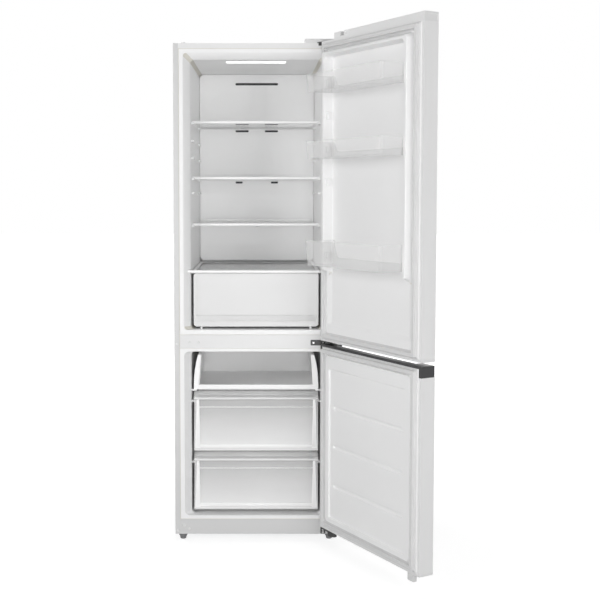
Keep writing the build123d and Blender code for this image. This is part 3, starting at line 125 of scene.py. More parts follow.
# X span, height of the middle and height of the air slots, and the front of the panel they are in
AIR_SLOTS = (
    (-87, 87, 1733.5, 9.5), (33, 87, 1573, 8), (-87, -33, 1573, 8), (33, 87, 1543, 8), (-87, -33, 1543, 8),
    (58, 87, 1334, 8), (-87, -58, 1334, 8),
)
PANEL_FRONT = 488

# bottom and top of the freezer drawers' clear fronts; the handle's edge lies a drop below the top
DRAWER_FRONTS = {"middle": (330, 556), "lower": (108, 326)}
HANDLE_DROP = 29
FRONT_FACE = 28.8
# X, y and height of the crisper's lip and of the pale grey band over it, a painted shade above the lip
CRISPER_LIP = ((-222, 222), (27.2, 30.4), (797.8, 814.4))
CRISPER_SHADE_BAND = ((-222, 222), (28.9, 30.3), (815.4, 839))

# floor level and height of the balconies; half width, y and corner radius of their tubs, and how high the
# back stands between its corners
BALCONIES = {"balcony_upper": (1640, 59), "balcony_middle": (1410, 59), "balcony_bottle": (1038, 87)}
BALCONY_HALF = 226
BALCONY_Y = (-20.4, 95.8)
BALCONY_CORNER = 10
BACK_HEIGHT = 25
# bottoms of the lugs that the balconies and the spare places use, and each lug's X, y and height
LUG_BOTTOMS = (1661, 1431, 1059, 1549, 1316)
LUG_X, LUG_Y, LUG_HEIGHT = (221, 235), (-7.2, 6.8), 26
# grooves over the lugs: half width, clearance to the lug's inner face, height at which the groove has run
# out, and the heights of the rows of points below and above that
GROOVE_HALF, GROOVE_CLEARANCE, GROOVE_TOP, GROOVE_ENDS = 10.5, 1.4, 51, (47.2, 54)


def wall_x(y):
    """Half width between the fridge room's side walls at depth y."""
    return 240 - 6 * (y - 28) / (525 - 28)


# ---------------------------------------------------------------- surfaces


def stations(*runs):
    """One rising row of numbers: each run is a start, an end and how many numbers it has with both."""
    return np.unique(np.concatenate([np.linspace(*run) for run in runs]).round(5))


def mirrored(*runs):
    """The runs on the right, their mirror image on the left, and both in one rising row."""
    right = stations(*runs)
    return np.unique(np.concatenate([-right, right]))


def soft_step(t, soft=0.2):
    """0 below t = 0, 1 above t = 1 and straight between, both bends rounded over 2 * soft by parabolas."""
    low = np.clip(t + soft, 0, 2 * soft) ** 2 / (4 * soft)
    high = np.clip(1 + soft - t, 0, 2 * soft) ** 2 / (4 * soft)
    return np.where(t < 0.5, np.where(t < soft, low, t), np.where(t > 1 - soft, 1 - high, t))


def depth_inside(x, z, half, z_range, radius, slopes):
    """How far a point lies inside a rounded rectangle, counted in widths of the slope at its edge.
    slopes are the widths at the side, the bottom and the top. In a corner the radius measured in units of
    the corner's own size takes the place of the distance to one side, so that the slope runs round it."""
    side, bottom, top = slopes
    reach = [max(radius, width) for width in (side, bottom, top)]
    u = np.clip((np.abs(x) - (half - reach[0])) / reach[0], 0, None)
    low = np.clip((z_range[0] + reach[1] - z) / reach[1], 0, None)
    high = np.clip((z - z_range[1] + reach[2]) / reach[2], 0, None)
    v = np.maximum(low, high)
    steep = np.where(low > high, reach[1] / bottom, reach[2] / top)
    square = u**2 + v**2
    share = (reach[0] / side * u**2 + steep * v**2) / np.maximum(square, 1e-9)
    return np.where(square > 0, (1 - np.sqrt(square)) * share, 9.0)


def rounded_rings(half, low, high, radius, corner=8, side=0):
    """Rounded rectangles, one per row: four quarter circles of the given radius about the corners' centres,
    joined by straight runs that get side more points each. Returns both coordinates as rows of points."""
    half, low, high, radius = (np.asarray(v, float).reshape(-1, 1) for v in (half, low, high, radius))
    turn = np.linspace(0, np.pi / 2, corner + 1)
    angle = np.concatenate([turn + k * np.pi / 2 for k in range(4)])[None]
    sign_u = np.repeat([1, -1, -1, 1], corner + 1)[None]
    sign_v = np.repeat([1, 1, -1, -1], corner + 1)[None]
    u = sign_u * (half - radius) + radius * np.cos(angle)
    v = (low + high) / 2 + sign_v * ((high - low) / 2 - radius) + radius * np.sin(angle)
    run = np.concatenate([np.arange(corner + 1), corner + np.linspace(0, 1, side + 2)[1:-1]])
    place = np.concatenate([run + k * (corner + 1) for k in range(4)])
    near, share = np.floor(place).astype(int), place - np.floor(place)
    far = (near + 1) % u.shape[1]
    return u[:, near] * (1 - share) + u[:, far] * share, v[:, near] * (1 - share) + v[:, far] * share


def grid_faces(rows, columns, wrap_rows=False, wrap_columns=False, flip=False):
    """Four-sided faces of a grid of points, row after row, closed on itself where it wraps."""
    r = np.arange(rows if wrap_rows else rows - 1)
    c = np.arange(columns if wrap_columns else columns - 1)
    r, c = (m.ravel() for m in np.meshgrid(r, c, indexing="ij"))
    r2, c2 = (r + 1) % rows, (c + 1) % columns
    faces = np.stack([r * columns + c, r * columns + c2, r2 * columns + c2, r2 * columns + c], 1)
    return faces[:, ::-1] if flip else faces


def capped_faces(rows, columns, near=True):
    """Faces of a tube of points, ring after ring: its far end is closed, and its near end where asked."""
    faces = grid_faces(rows, columns, wrap_columns=True).tolist()
    if near:
        faces.append(list(range(columns))[::-1])
    faces.append(list(range((rows - 1) * columns, rows * columns)))
    return faces


def swing(points):
    """Points of a closed door turned about the hinge's upright line to where the door stands open."""
    cos, sin = math.cos(OPEN_ANGLE), math.sin(OPEN_ANGLE)
    dx, dy = points[..., 0] - HINGE[0], points[..., 1] - HINGE[1]
    return np.stack([HINGE[0] + cos * dx - sin * dy, HINGE[1] + sin * dx + cos * dy, points[..., 2]], -1)


def lug_bar(x, y, z, radius, steps=3):
    """A bar along Y whose edges and ends are rounded: its section is a rounded rectangle, and near each end
    it is drawn in by radius * (1 - sin a) at a distance of radius * (1 - cos a). Returns points and faces."""
    a = np.linspace(0, np.pi / 2, steps + 1)
    inset = np.concatenate([radius * (1 - np.sin(a)), radius * (1 - np.sin(a))[::-1]])
    depth = np.concatenate([y[0] + radius * (1 - np.cos(a)), y[1] - radius * (1 - np.cos(a))[::-1]])
    half, mid = (x[1] - x[0]) / 2, (x[0] + x[1]) / 2
    u, v = rounded_rings(half - inset, z[0] + inset, z[1] - inset, radius - 0.7 * inset, corner=steps)
    points = np.stack([u + mid, np.repeat(depth[:, None], u.shape[1], 1), v], -1)
    return points.reshape(-1, 3), capped_faces(*u.shape)


def across(x, y, z, radius):
    """The same bar laid along X."""
    points, faces = lug_bar(y, x, z, radius)
    return points[:, [1, 0, 2]], faces


def joined(parts):
    """Several sets of points and faces as one."""
    points, faces, base = [], [], 0
    for part_points, part_faces in parts:
        points.append(part_points)
        faces += [[base + i for i in face] for face in part_faces]
        base += len(part_points)
    return np.concatenate(points), faces


def piece(name, points, faces, slot, body, *nodes, closed=True, wall=0.0, sharp=38):
    """A mesh object in metres from points in millimetres, dressed in the finish of its material slot.
    A closed skin gets its normals worked out, and an open one gets a wall behind its face."""
    mesh = bpy.data.meshes.new(name)
    faces = faces.tolist() if isinstance(faces, np.ndarray) else faces
    mesh.from_pydata((np.asarray(points, float).reshape(-1, 3) / 1000).tolist(), [], faces)
    if closed:
        work = bmesh.new()
        work.from_mesh(mesh)
        bmesh.ops.recalc_face_normals(work, faces=work.faces[:])
        work.to_mesh(mesh)
        work.free()
    mesh.shade_smooth()
    mesh.set_sharp_from_angle(angle=math.radians(sharp))
    mesh.update()
    obj = bpy.data.objects.new(name, mesh)
    bpy.context.scene.collection.objects.link(obj)
    if wall:
        solid = obj.modifiers.new("wall", "SOLIDIFY")
        solid.thickness, solid.offset = wall / 1000, -1
    mesh.materials.append(finish(slot))
    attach(obj, body)
    if nodes:
        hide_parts(*nodes)
    return obj


# ---------------------------------------------------------------- shader effects


def new_group(name, inputs, outputs):
    """An empty shader group with named sockets, and the nodes at its two ends."""
    group = bpy.data.node_groups.new(name, "ShaderNodeTree")
    for socket, kind, value in inputs:
        made = group.interface.new_socket(socket, in_out="INPUT", socket_type=kind)
        made.default_value = value
    for socket, kind in outputs:
        group.interface.new_socket(socket, in_out="OUTPUT", socket_type=kind)
    return group, group.nodes.new("NodeGroupInput"), group.nodes.new("NodeGroupOutput")


def put(tree, kind, inputs=None, **settings):
    """A node with its settings; each input is a value or the socket that feeds it."""
    made = tree.nodes.new(kind)
    for key, value in settings.items():
        setattr(made, key, value)
    for key, value in (inputs or {}).items():
        if isinstance(value, bpy.types.NodeSocket):
            tree.links.new(value, made.inputs[key])
        else:
            made.inputs[key].default_value = value
    return made


def surface_grain():
    """Fine relief and a slow change over the surface, both from noise on the piece's own coordinates."""
    group = bpy.data.node_groups.get("surface_grain")
    if group:
        return group
    group, enter, leave = new_group(
        "surface_grain",
        [
            ("Scale", "NodeSocketFloat", 900.0),
            ("Stretch", "NodeSocketVector", (1, 1, 1)),
            ("Patch Scale", "NodeSocketFloat", 6.0),
        ],
        [("Height", "NodeSocketFloat"), ("Patch", "NodeSocketFloat")],
    )
    place = put(group, "ShaderNodeTexCoord").outputs["Object"]
    place = put(group, "ShaderNodeMapping", {"Vector": place, "Scale": enter.outputs["Stretch"]}).outputs[0]
    fine = put(
        group, "ShaderNodeTexNoise",
        {"Vector": place, "Scale": enter.outputs["Scale"], "Detail": 3.0, "Roughness": 0.55},
    )
    slow = put(
        group, "ShaderNodeTexNoise", {"Vector": place, "Scale": enter.outputs["Patch Scale"], "Detail": 2.0}
    )
    group.links.new(fine.outputs[0], leave.inputs["Height"])
    group.links.new(slow.outputs[0], leave.inputs["Patch"])
    return group


def tone_shift():
    """A colour made a little lighter or darker by a mask."""
    group = bpy.data.node_groups.get("tone_shift")
    if group:
        return group
    group, enter, leave = new_group(
        "tone_shift",
        [
            ("Colour", "NodeSocketColor", (0.8, 0.8, 0.8, 1)),
            ("Mask", "NodeSocketFloat", 0.5),
            ("Amount", "NodeSocketFloat", 0.03),
        ],
        [("Colour", "NodeSocketColor")],
    )
    level = put(group, "ShaderNodeMath", {0: enter.outputs["Mask"], 1: 0.5}, operation="SUBTRACT")
    level = put(
        group, "ShaderNodeMath", {0: level.outputs[0], 1: enter.outputs["Amount"]}, operation="MULTIPLY"
    )
    level = put(group, "ShaderNodeMath", {0: level.outputs[0], 1: 1.0}, operation="ADD")
    mixed = put(group, "ShaderNodeVectorMath", {0: enter.outputs["Colour"]}, operation="SCALE")
    group.links.new(level.outputs[0], mixed.inputs["Scale"])
    group.links.new(mixed.outputs[0], leave.inputs["Colour"])
    return group


def zinc_spangle():
    """The crystal pattern of galvanised sheet, as a mask."""
    group = bpy.data.node_groups.get("zinc_spangle")
    if group:
        return group
    group, enter, leave = new_group(
        "zinc_spangle", [("Scale", "NodeSocketFloat", 110.0)], [("Mask", "NodeSocketFloat")]
    )
    place = put(group, "ShaderNodeTexCoord").outputs["Object"]
    cells = put(group, "ShaderNodeTexVoronoi", {"Vector": place, "Scale": enter.outputs["Scale"]})
    grey = put(group, "ShaderNodeRGBToBW", {"Color": cells.outputs["Color"]})
    group.links.new(grey.outputs[0], leave.inputs["Mask"])
    return group


def frost_rise():
    """Painted shade on the drawers' fronts: drawn Dense, nearly opaque white, up to 20 mm above their foot,
    then straight down to Thin at
    170 mm, so the upper part under the handle shows darker. The drawers stand one pitch apart, so the height
    is wrapped at that pitch."""
    group = bpy.data.node_groups.get("frost_rise")
    if group:
        return group
    group, enter, leave = new_group(
        "frost_rise",
        [
            ("Foot", "NodeSocketFloat", 0.112),
            ("Pitch", "NodeSocketFloat", 0.222),
            ("Dense", "NodeSocketFloat", 0.84),
            ("Thin", "NodeSocketFloat", 0.3),
        ],
        [("Mask", "NodeSocketFloat")],
    )
    place = put(group, "ShaderNodeSeparateXYZ", {0: put(group, "ShaderNodeTexCoord").outputs["Object"]})
    height = put(
        group, "ShaderNodeMath", {0: place.outputs["Z"], 1: enter.outputs["Foot"]}, operation="SUBTRACT"
    )
    height = put(
        group, "ShaderNodeMath", {0: height.outputs[0], 1: enter.outputs["Pitch"], 2: 0.0}, operation="WRAP"
    )
    mask = put(
        group, "ShaderNodeMapRange",
        {
            "Value": height.outputs[0], "From Min": 0.02, "From Max": 0.17,
            "To Min": enter.outputs["Dense"], "To Max": enter.outputs["Thin"],
        },
    )
    group.links.new(mask.outputs[0], leave.inputs["Mask"])
    return group


# colour, roughness from and to, metallic, scale and depth of the relief, tone change, specular level
FINISHES = {
    "white_paint": ((0.84, 0.84, 0.84), (0.28, 0.36), 0, (700, 0.00003), 0.02, 0.5),
    # the same white paint drawn darker: a painted shade for the cabinet's sides and kick panel
    "side_paint": ((0.68, 0.68, 0.68), (0.28, 0.36), 0, (700, 0.00003), 0.02, 0.5),
    "white_liner": ((0.93, 0.93, 0.93), (0.34, 0.46), 0, (420, 0.00004), 0.03, 0.45),
    "white_cap": ((0.8, 0.8, 0.8), (0.32, 0.42), 0, (1500, 0.00003), 0.03, 0.45),
    "insulation": ((0.74, 0.72, 0.66), (0.8, 0.95), 0, (300, 0.0004), 0.1, 0.2),
    "galvanised_sheet": ((0.62, 0.63, 0.64), (0.28, 0.48), 0.9, (500, 0.00003), 0.2, 0.5),
    "grey_panel": ((0.6, 0.61, 0.62), (0.45, 0.6), 0, (900, 0.00006), 0.05, 0.4),
    "black_grip": ((0.022, 0.022, 0.024), (0.3, 0.45), 0, (1100, 0.00004), 0.15, 0.5),
    "dark_bracket": ((0.04, 0.04, 0.04), (0.34, 0.48), 0.3, (900, 0.00006), 0.2, 0.5),
    "zinc": ((0.4, 0.4, 0.4), (0.22, 0.34), 1, (1200, 0.00002), 0.1, 0.5),
    "drawer_white": ((0.97, 0.97, 0.97), (0.3, 0.42), 0, (900, 0.00003), 0.02, 0.5),
    "soft_seal": ((0.74, 0.74, 0.74), (0.5, 0.66), 0, (1400, 0.00006), 0.05, 0.35),
    "black_can": ((0.016, 0.016, 0.016), (0.32, 0.46), 0, (350, 0.0001), 0.2, 0.5),
    "black_rubber": ((0.02, 0.02, 0.02), (0.7, 0.85), 0, (1800, 0.0001), 0.2, 0.3),
    "copper_pipe": ((0.72, 0.36, 0.21), (0.25, 0.42), 1, (300, 0.00005), 0.25, 0.5),
    "fins": ((0.76, 0.77, 0.78), (0.3, 0.42), 1, (600, 0.00004), 0.12, 0.5),
    "grey_plastic": ((0.2, 0.2, 0.205), (0.45, 0.6), 0, (1100, 0.00006), 0.12, 0.4),
    # pale_grey also colours the crisper's band, a painted shade over its lip
    "pale_grey": ((0.74, 0.74, 0.74), (0.4, 0.52), 0, (1100, 0.00005), 0.06, 0.4),
    # dark_plastic is the colour of the bars of painted shade behind the air slots
    "dark_plastic": ((0.045, 0.045, 0.048), (0.5, 0.65), 0, (1100, 0.00006), 0.15, 0.4),
}
# colour, alpha facing and at the edge, roughness; the drawers' fronts take the first alpha from a height mask,
# a painted shade: whiter at the foot, darker under the handle
CLEAR_FINISHES = {
    "shelf_glass": ((0.93, 0.95, 0.94), 0.05, 0.18, 0.04),
    "clear_plastic": ((1.0, 1.0, 1.0), 0.06, 0.42, 0.08),
    "cover_glass": ((0.99, 0.99, 0.99), 0.4, 0.6, 0.1),
    "drawer_front": ((0.97, 0.97, 0.97), None, 0.5, 0.2),
    "frosted": ((0.76, 0.76, 0.76), 0.95, 1.0, 0.32),
}
# nodes whose finish isn't the plain one of their slot; the cabinet's sides and kick panel take a darker copy
# of the white paint, a painted shade
SPECIAL_FINISH = {
    "crisper_drawer": "frosted", "crisper_cover_glass": "cover_glass", "freezer_door_rest": "pale_grey",
    "kick_panel": "side_paint", "left_side_panel": "side_paint", "right_side_panel": "side_paint",
}


def finish(slot):
    """The material of one of the finishes above, made the first time it is asked for."""
    name = f"finish_{slot}"
    made = bpy.data.materials.get(name)
    if made:
        return made
    made = bpy.data.materials.new(name)
    made.use_nodes = True
    shader = made.node_tree.nodes["Principled BSDF"]
    if slot == "lens":
        light_lens_finish(made.node_tree, shader)
    elif slot in CLEAR_FINISHES:
        clear_finish(made.node_tree, shader, slot)
        made.surface_render_method = "BLENDED"
    else:
        solid_finish(made.node_tree, shader, slot)
    return made


def chosen_colour(slot, colour):
    """The colour that the panel sets for a finish, or else its own."""
    return (*tuple(getattr(bpy.context.scene.fridge_colours, slot, colour))[:3], 1)


def solid_finish(tree, shader, slot):
    """Paint, plastic, rubber or metal: fine relief, and a slow change of tone and roughness."""
    colour, rough_span, metallic, relief, tone, specular = FINISHES[slot]
    shader.inputs["Metallic"].default_value = metallic
    shader.inputs["Specular IOR Level"].default_value = specular
    grain = put(tree, "ShaderNodeGroup", node_tree=surface_grain())
    grain.inputs["Scale"].default_value = relief[0]
    if slot in ("zinc", "fins", "copper_pipe"):
        grain.inputs["Stretch"].default_value = (1, 1, 0.15)
    mask = grain.outputs["Patch"]
    if slot == "galvanised_sheet":
        mask = put(tree, "ShaderNodeGroup", node_tree=zinc_spangle()).outputs["Mask"]
    shade = put(tree, "ShaderNodeGroup", {"Mask": mask}, node_tree=tone_shift())
    shade.inputs["Colour"].default_value = chosen_colour(slot, colour)
    shade.inputs["Amount"].default_value = tone
    tree.links.new(shade.outputs["Colour"], shader.inputs["Base Color"])
    rough = put(
        tree, "ShaderNodeMapRange",
        {"Value": mask, "From Min": 0.3, "From Max": 0.7, "To Min": rough_span[0], "To Max": rough_span[1]},
    )
    tree.links.new(rough.outputs[0], shader.inputs["Roughness"])
    bump = put(
        tree, "ShaderNodeBump", {"Height": grain.outputs["Height"], "Distance": relief[1], "Strength": 0.6}
    )
    tree.links.new(bump.outputs[0], shader.inputs["Normal"])


def clear_finish(tree, shader, slot):
    """Glass or clear plastic: it shows more where it is seen edge on."""
    colour, facing, edge, rough = CLEAR_FINISHES[slot]
    shader.inputs["Base Color"].default_value = chosen_colour(slot, colour)
    shader.inputs["Roughness"].default_value = rough
    edge_on = put(tree, "ShaderNodeLayerWeight", {"Blend": 0.45})
    # painted shade: the drawers' fronts are drawn whiter towards their foot and left darker higher up, under
    # the handle
    if slot == "drawer_front":
        facing = put(tree, "ShaderNodeGroup", node_tree=frost_rise()).outputs["Mask"]
    alpha = put(
        tree, "ShaderNodeMapRange", {"Value": edge_on.outputs["Facing"], "To Min": facing, "To Max": edge}
    )
    tree.links.new(alpha.outputs[0], shader.inputs["Alpha"])


def light_lens_finish(tree, shader):
    """The ceiling lamp's lens, lit from behind: a little less bright between its diodes."""
    place = put(tree, "ShaderNodeTexCoord").outputs["Object"]
    wave = put(tree, "ShaderNodeTexWave", {"Vector": place, "Scale": 12.0, "Distortion": 0.0})
    glow = put(tree, "ShaderNodeMapRange", {"Value": wave.outputs["Fac"], "To Min": 0.92, "To Max": 1.0})
    # the diodes stand along the front edge, so the light fades towards the back
    split = put(tree, "ShaderNodeSeparateXYZ", {"Vector": place})
    fade = put(
        tree, "ShaderNodeMapRange",
        {"Value": split.outputs["Y"], "From Min": 0.086, "From Max": 0.1, "To Min": 1.15, "To Max": 0.0},
    )
    tree.links.new(glow.outputs[0], shader.inputs["Emission Color"])
    tree.links.new(glow.outputs[0], shader.inputs["Base Color"])
    tree.links.new(fade.outputs[0], shader.inputs["Emission Strength"])
    shader.inputs["Roughness"].default_value = 0.4


# ---------------------------------------------------------------- sizes and colours a user may change


class FridgeColours(bpy.types.PropertyGroup):
    """Colours of the main finishes."""

    white_paint: bpy.props.FloatVectorProperty(
        name="Paint", description="Painted sheet of the cabinet and the doors", subtype="COLOR",
        default=FINISHES["white_paint"][0], min=0, max=1,
    )
    white_liner: bpy.props.FloatVectorProperty(
        name="Liner", description="Vacuum-formed plastic inside", subtype="COLOR",
        default=FINISHES["white_liner"][0], min=0, max=1,
    )
    soft_seal: bpy.props.FloatVectorProperty(
        name="Seal", description="Magnetic seals of the doors", subtype="COLOR",
        default=FINISHES["soft_seal"][0], min=0, max=1,
    )
    black_grip: bpy.props.FloatVectorProperty(
        name="Grip", description="Grip profile along the freezer door", subtype="COLOR",
        default=FINISHES["black_grip"][0], min=0, max=1,
    )
    clear_plastic: bpy.props.FloatVectorProperty(
        name="Clear plastic", description="Balconies of the upper door", subtype="COLOR",
        default=CLEAR_FINISHES["clear_plastic"][0], min=0, max=1,
    )


class FridgeForms(bpy.types.PropertyGroup):
    """Sizes of the moulded details."""

    seal_gap: bpy.props.FloatProperty(
        name="Seal gap", description="Closed seal to the cabinet's front",
        subtype="DISTANCE", unit="LENGTH", default=0.0006, min=0.0002, max=0.002,
    )
    dike_height: bpy.props.FloatProperty(
        name="Dike height", description="How far the upper door's liner stands into the cabinet",
        subtype="DISTANCE", unit="LENGTH", default=0.031, min=0.01, max=0.05,
    )
    rim_bead: bpy.props.FloatProperty(
        name="Rim bead", description="Thickness added along a balcony's rim",
        subtype="DISTANCE", unit="LENGTH", default=0.0012, min=0.0, max=0.003,
    )
    edge_round: bpy.props.FloatProperty(
        name="Edge round", description="Rounding of the moulded pieces' edges",
        subtype="DISTANCE", unit="LENGTH", default=0.0006, min=0.0, max=0.002,
    )


class FridgeStage(bpy.types.PropertyGroup):
    """Floor, light and camera."""

    floor_size: bpy.props.FloatProperty(
        name="Floor size", description="Side of the floor", subtype="DISTANCE", unit="LENGTH",
        default=60.0, min=5.0,
    )
    lamp_power: bpy.props.FloatProperty(
        name="Lamp power", description="Power that each lamp has its share of", subtype="POWER", unit="POWER",
        default=58.0, min=0.0,
    )
    lens: bpy.props.FloatProperty(
        name="Lens", description="Focal length of the camera", subtype="DISTANCE_CAMERA",
        default=62.98, min=20.0,
    )


# ---------------------------------------------------------------- operators

# moulded and pressed nodes whose edges are eased
EASED_NODES = (
    "top_hinge_cover", "top_hinge_bracket", "middle_hinge_bracket", "bottom_hinge_bracket",
    "upper_door_top_cap", "upper_door_bottom_cap", "freezer_door_bottom_cap", "freezer_door_grip",
    "freezer_door_rest", "crisper_cover_frame", "crisper_cover_glass", "crisper_drawer", "freezer_tray",
    "freezer_drawer_middle", "freezer_drawer_middle_front", "freezer_drawer_lower",
    "freezer_drawer_lower_front", "glass_shelf_upper", "glass_shelf_middle", "glass_shelf_lower",
)


class FRIDGE_OT_finishes(bpy.types.Operator):
    """Gives every CAD node the finish of its slot, and eases the edges of the moulded and pressed ones"""

    bl_idname = "fridge.finishes"
    bl_label = "Finishes"

    def execute(self, context):
        width = context.scene.fridge_forms.edge_round
        for name, obj in NODES.items():
            obj.data.materials.clear()
            obj.data.materials.append(finish(SPECIAL_FINISH.get(name, SLOT_OF[name])))
            if name in EASED_NODES and width > 0:
                weld = obj.modifiers.new("weld", "WELD")
                weld.merge_threshold = 0.00001
                flat = obj.modifiers.new("flat", "DECIMATE")
                flat.decimate_type = "DISSOLVE"
                flat.angle_limit = math.radians(0.6)
                ease = obj.modifiers.new("ease", "BEVEL")
                ease.limit_method = "ANGLE"
                ease.angle_limit = math.radians(35)
                ease.width, ease.segments = width, 2
        return {"FINISHED"}


class FRIDGE_OT_gaskets(bpy.types.Operator):
    """Magnetic seals of both doors: foot, bellows and magnet pocket carried round the door"""

    bl_idname = "fridge.gaskets"
    bl_label = "Gaskets"

    def execute(self, context):
        gap = -1000 * context.scene.fridge_forms.seal_gap
        half_profile = [
            (0.0, DOOR_INNER), (0.0, -13.7), (0.5, -13.0), (1.6, -12.7), (4.2, -12.3), (5.6, -11.5),
            (6.0, -10.6), (5.0, -9.8), (4.3, -8.8), (4.6, -7.8), (5.7, -7.1), (6.1, -6.4),
            (5.3, -5.8), (5.0, -4.8), (5.0, gap - 1.7), (5.3, gap - 0.8), (6.1, gap - 0.2),
            (7.2, gap), (10.2, gap), (10.7, gap - 0.35),
        ]
        inset, y = np.array(half_profile + [(SEAL_WIDTH - i, d) for i, d in half_profile[::-1]]).T
        for door, (low, high) in SEALS.items():
            # each ring is the outline drawn in by its inset, and inset and y run round the profile
            u, v = rounded_rings(SEAL_HALF - inset, low + inset, high - inset, 5 - 0.17 * inset, corner=6)
            points = swing(np.stack([u, np.repeat(y[:, None], u.shape[1], 1), v], -1))
            faces = grid_faces(*u.shape, wrap_rows=True, wrap_columns=True)
            piece(f"{door}_gasket_seal", points, faces, "soft_seal", door, f"{door}_gasket", sharp=50)
        return {"FINISHED"}


class FRIDGE_OT_upper_liner(bpy.types.Operator):
    """Liner of the upper door: dikes that stand into the cabinet, the recess between them, and the lugs"""

    bl_idname = "fridge.upper_liner"
    bl_label = "Upper door liner"

    def execute(self, context):
        rise = 1000 * context.scene.fridge_forms.dike_height
        floor = DOOR_INNER - RECESS_DEPTH
        x, z = np.meshgrid(
            mirrored(
                (0, 190, 4), (200, 226, 9), (227, 236, 19), (237, 244, 4), (245, 253, 17),
                (254.5, LINER_EDGE, 4),
            ),
            stations(
                (764, 812, 4), (813, 836, 16), (842, 985, 4), (988, 1042, 40), (1052, 1735, 7),
                (1742, 1775, 28), (1776, 1798, 23), (1801, 1820, 4),
            ),
        )
        # the dike rises from the door's face, the recess goes down from its crest, and the lower
        # recess from the face, each by a soft step of the depth inside its own rounded rectangle
        y = DOOR_INNER + rise * soft_step(depth_inside(x, z, *DIKE), 0.16)
        y = y + (floor - y) * soft_step(depth_inside(x, z, *RECESS), 0.16)
        lower = soft_step(depth_inside(x, z, *LOWER_RECESS), 0.12)
        y = y + (floor - y) * np.where(y < DOOR_INNER + 0.5, lower, 0)
        points = swing(np.stack([x, y, z], -1))
        faces = grid_faces(*x.shape, flip=True)
        piece(
            "upper_door_inner", points, faces, "white_liner", "upper_door", "upper_door_liner",
            closed=False, wall=SKIN, sharp=60,
        )
        lugs = [
            lug_bar(sorted(side * x for x in LUG_X), LUG_Y, (low, low + LUG_HEIGHT), 3.2)
            for low in LUG_BOTTOMS
            for side in (-1, 1)
        ]
        points, faces = joined(lugs)
        piece("upper_door_lugs", swing(points), faces, "white_liner", "upper_door")
        return {"FINISHED"}


class FRIDGE_OT_freezer_liner(bpy.types.Operator):
    """Liner of the freezer door: a low plateau, the panel sunk into it, and three sunk ribs"""

    bl_idname = "fridge.freezer_liner"
    bl_label = "Freezer door liner"

    def execute(self, context):
        rib_rows = [(level - 8, level + 8, 33) for level in RIB_LEVELS]
        x, z = np.meshgrid(
            mirrored(
                (0, 180, 4), (190, 198, 5), (199, 206, 15), (208, 222, 6), (223, 230, 15), (232, 247, 6),
                (248, 253, 11), (254.5, LINER_EDGE, 4),
            ),
            stations(
                (74, 100, 4), (101, 128, 41), (134, 230, 5), *rib_rows, (252, 370, 5), (394, 512, 5),
                (536, 645, 5), (650, 664, 29), (668, 690, 5), (694, 712, 28), (715, 735, 4),
            ),
        )
        # the plateau rises from the door's face, and the panel goes down from the plateau
        y = DOOR_INNER + PLATEAU_HEIGHT * soft_step(depth_inside(x, z, *PLATEAU), 0.3)
        y = y - PANEL_DEPTH * soft_step(depth_inside(x, z, *SUNK_PANEL), 0.25)
        for level in RIB_LEVELS:
            # a rib's section is a soft step of the distance to its centre line
            away = np.hypot(np.clip(np.abs(x) - RIB_END, 0, None), z - level)
            y = y - RIB_DEPTH * soft_step((RIB_HALF - away) / RIB_SLOPE, 0.3)
        points = swing(np.stack([x, y, z], -1))
        piece(
            "freezer_door_inner", points, grid_faces(*x.shape, flip=True), "white_liner", "freezer_door",
            "freezer_door_liner", closed=False, wall=SKIN, sharp=60,
        )
        return {"FINISHED"}


class FRIDGE_OT_room_liner(bpy.types.Operator):
    """Liner of the fridge room: flange, bevel and walls in one skin, with the shelves' ledges"""

    bl_idname = "fridge.room_liner"
    bl_label = "Fridge room liner"

    def execute(self, context):
        y, half, low, high, radius = np.array(ROOM_RINGS).T
        u, v = rounded_rings(half, low, high, radius, corner=10)
        points = np.stack([u, np.repeat(y[:, None], u.shape[1], 1), v], -1)
        piece(
            "fridge_room_skin", points, capped_faces(*u.shape, near=False), "white_liner", "cabinet",
            "fridge_liner", closed=False, wall=1.4, sharp=30,
        )
        bars = []
        for side in (-1, 1):
            for span in LEDGE_SPANS:
                wall = wall_x(span[0])
                ledges = [(top, 9) for top in LEDGE_TOPS] + [(COVER_LEDGE_TOP, 7.5)]
                for top, reach in ledges:
                    x = sorted((side * (wall - reach), side * (wall + 0.8)))
                    bars.append(lug_bar(x, span, (top - 8, top), 2.2))
            bars.append(lug_bar(sorted(side * x for x in RAIL_X), RAIL_Y, RAIL_Z, 2))
        points, faces = joined(bars)
        piece("fridge_room_ledges", points, faces, "white_liner", "cabinet")
        return {"FINISHED"}


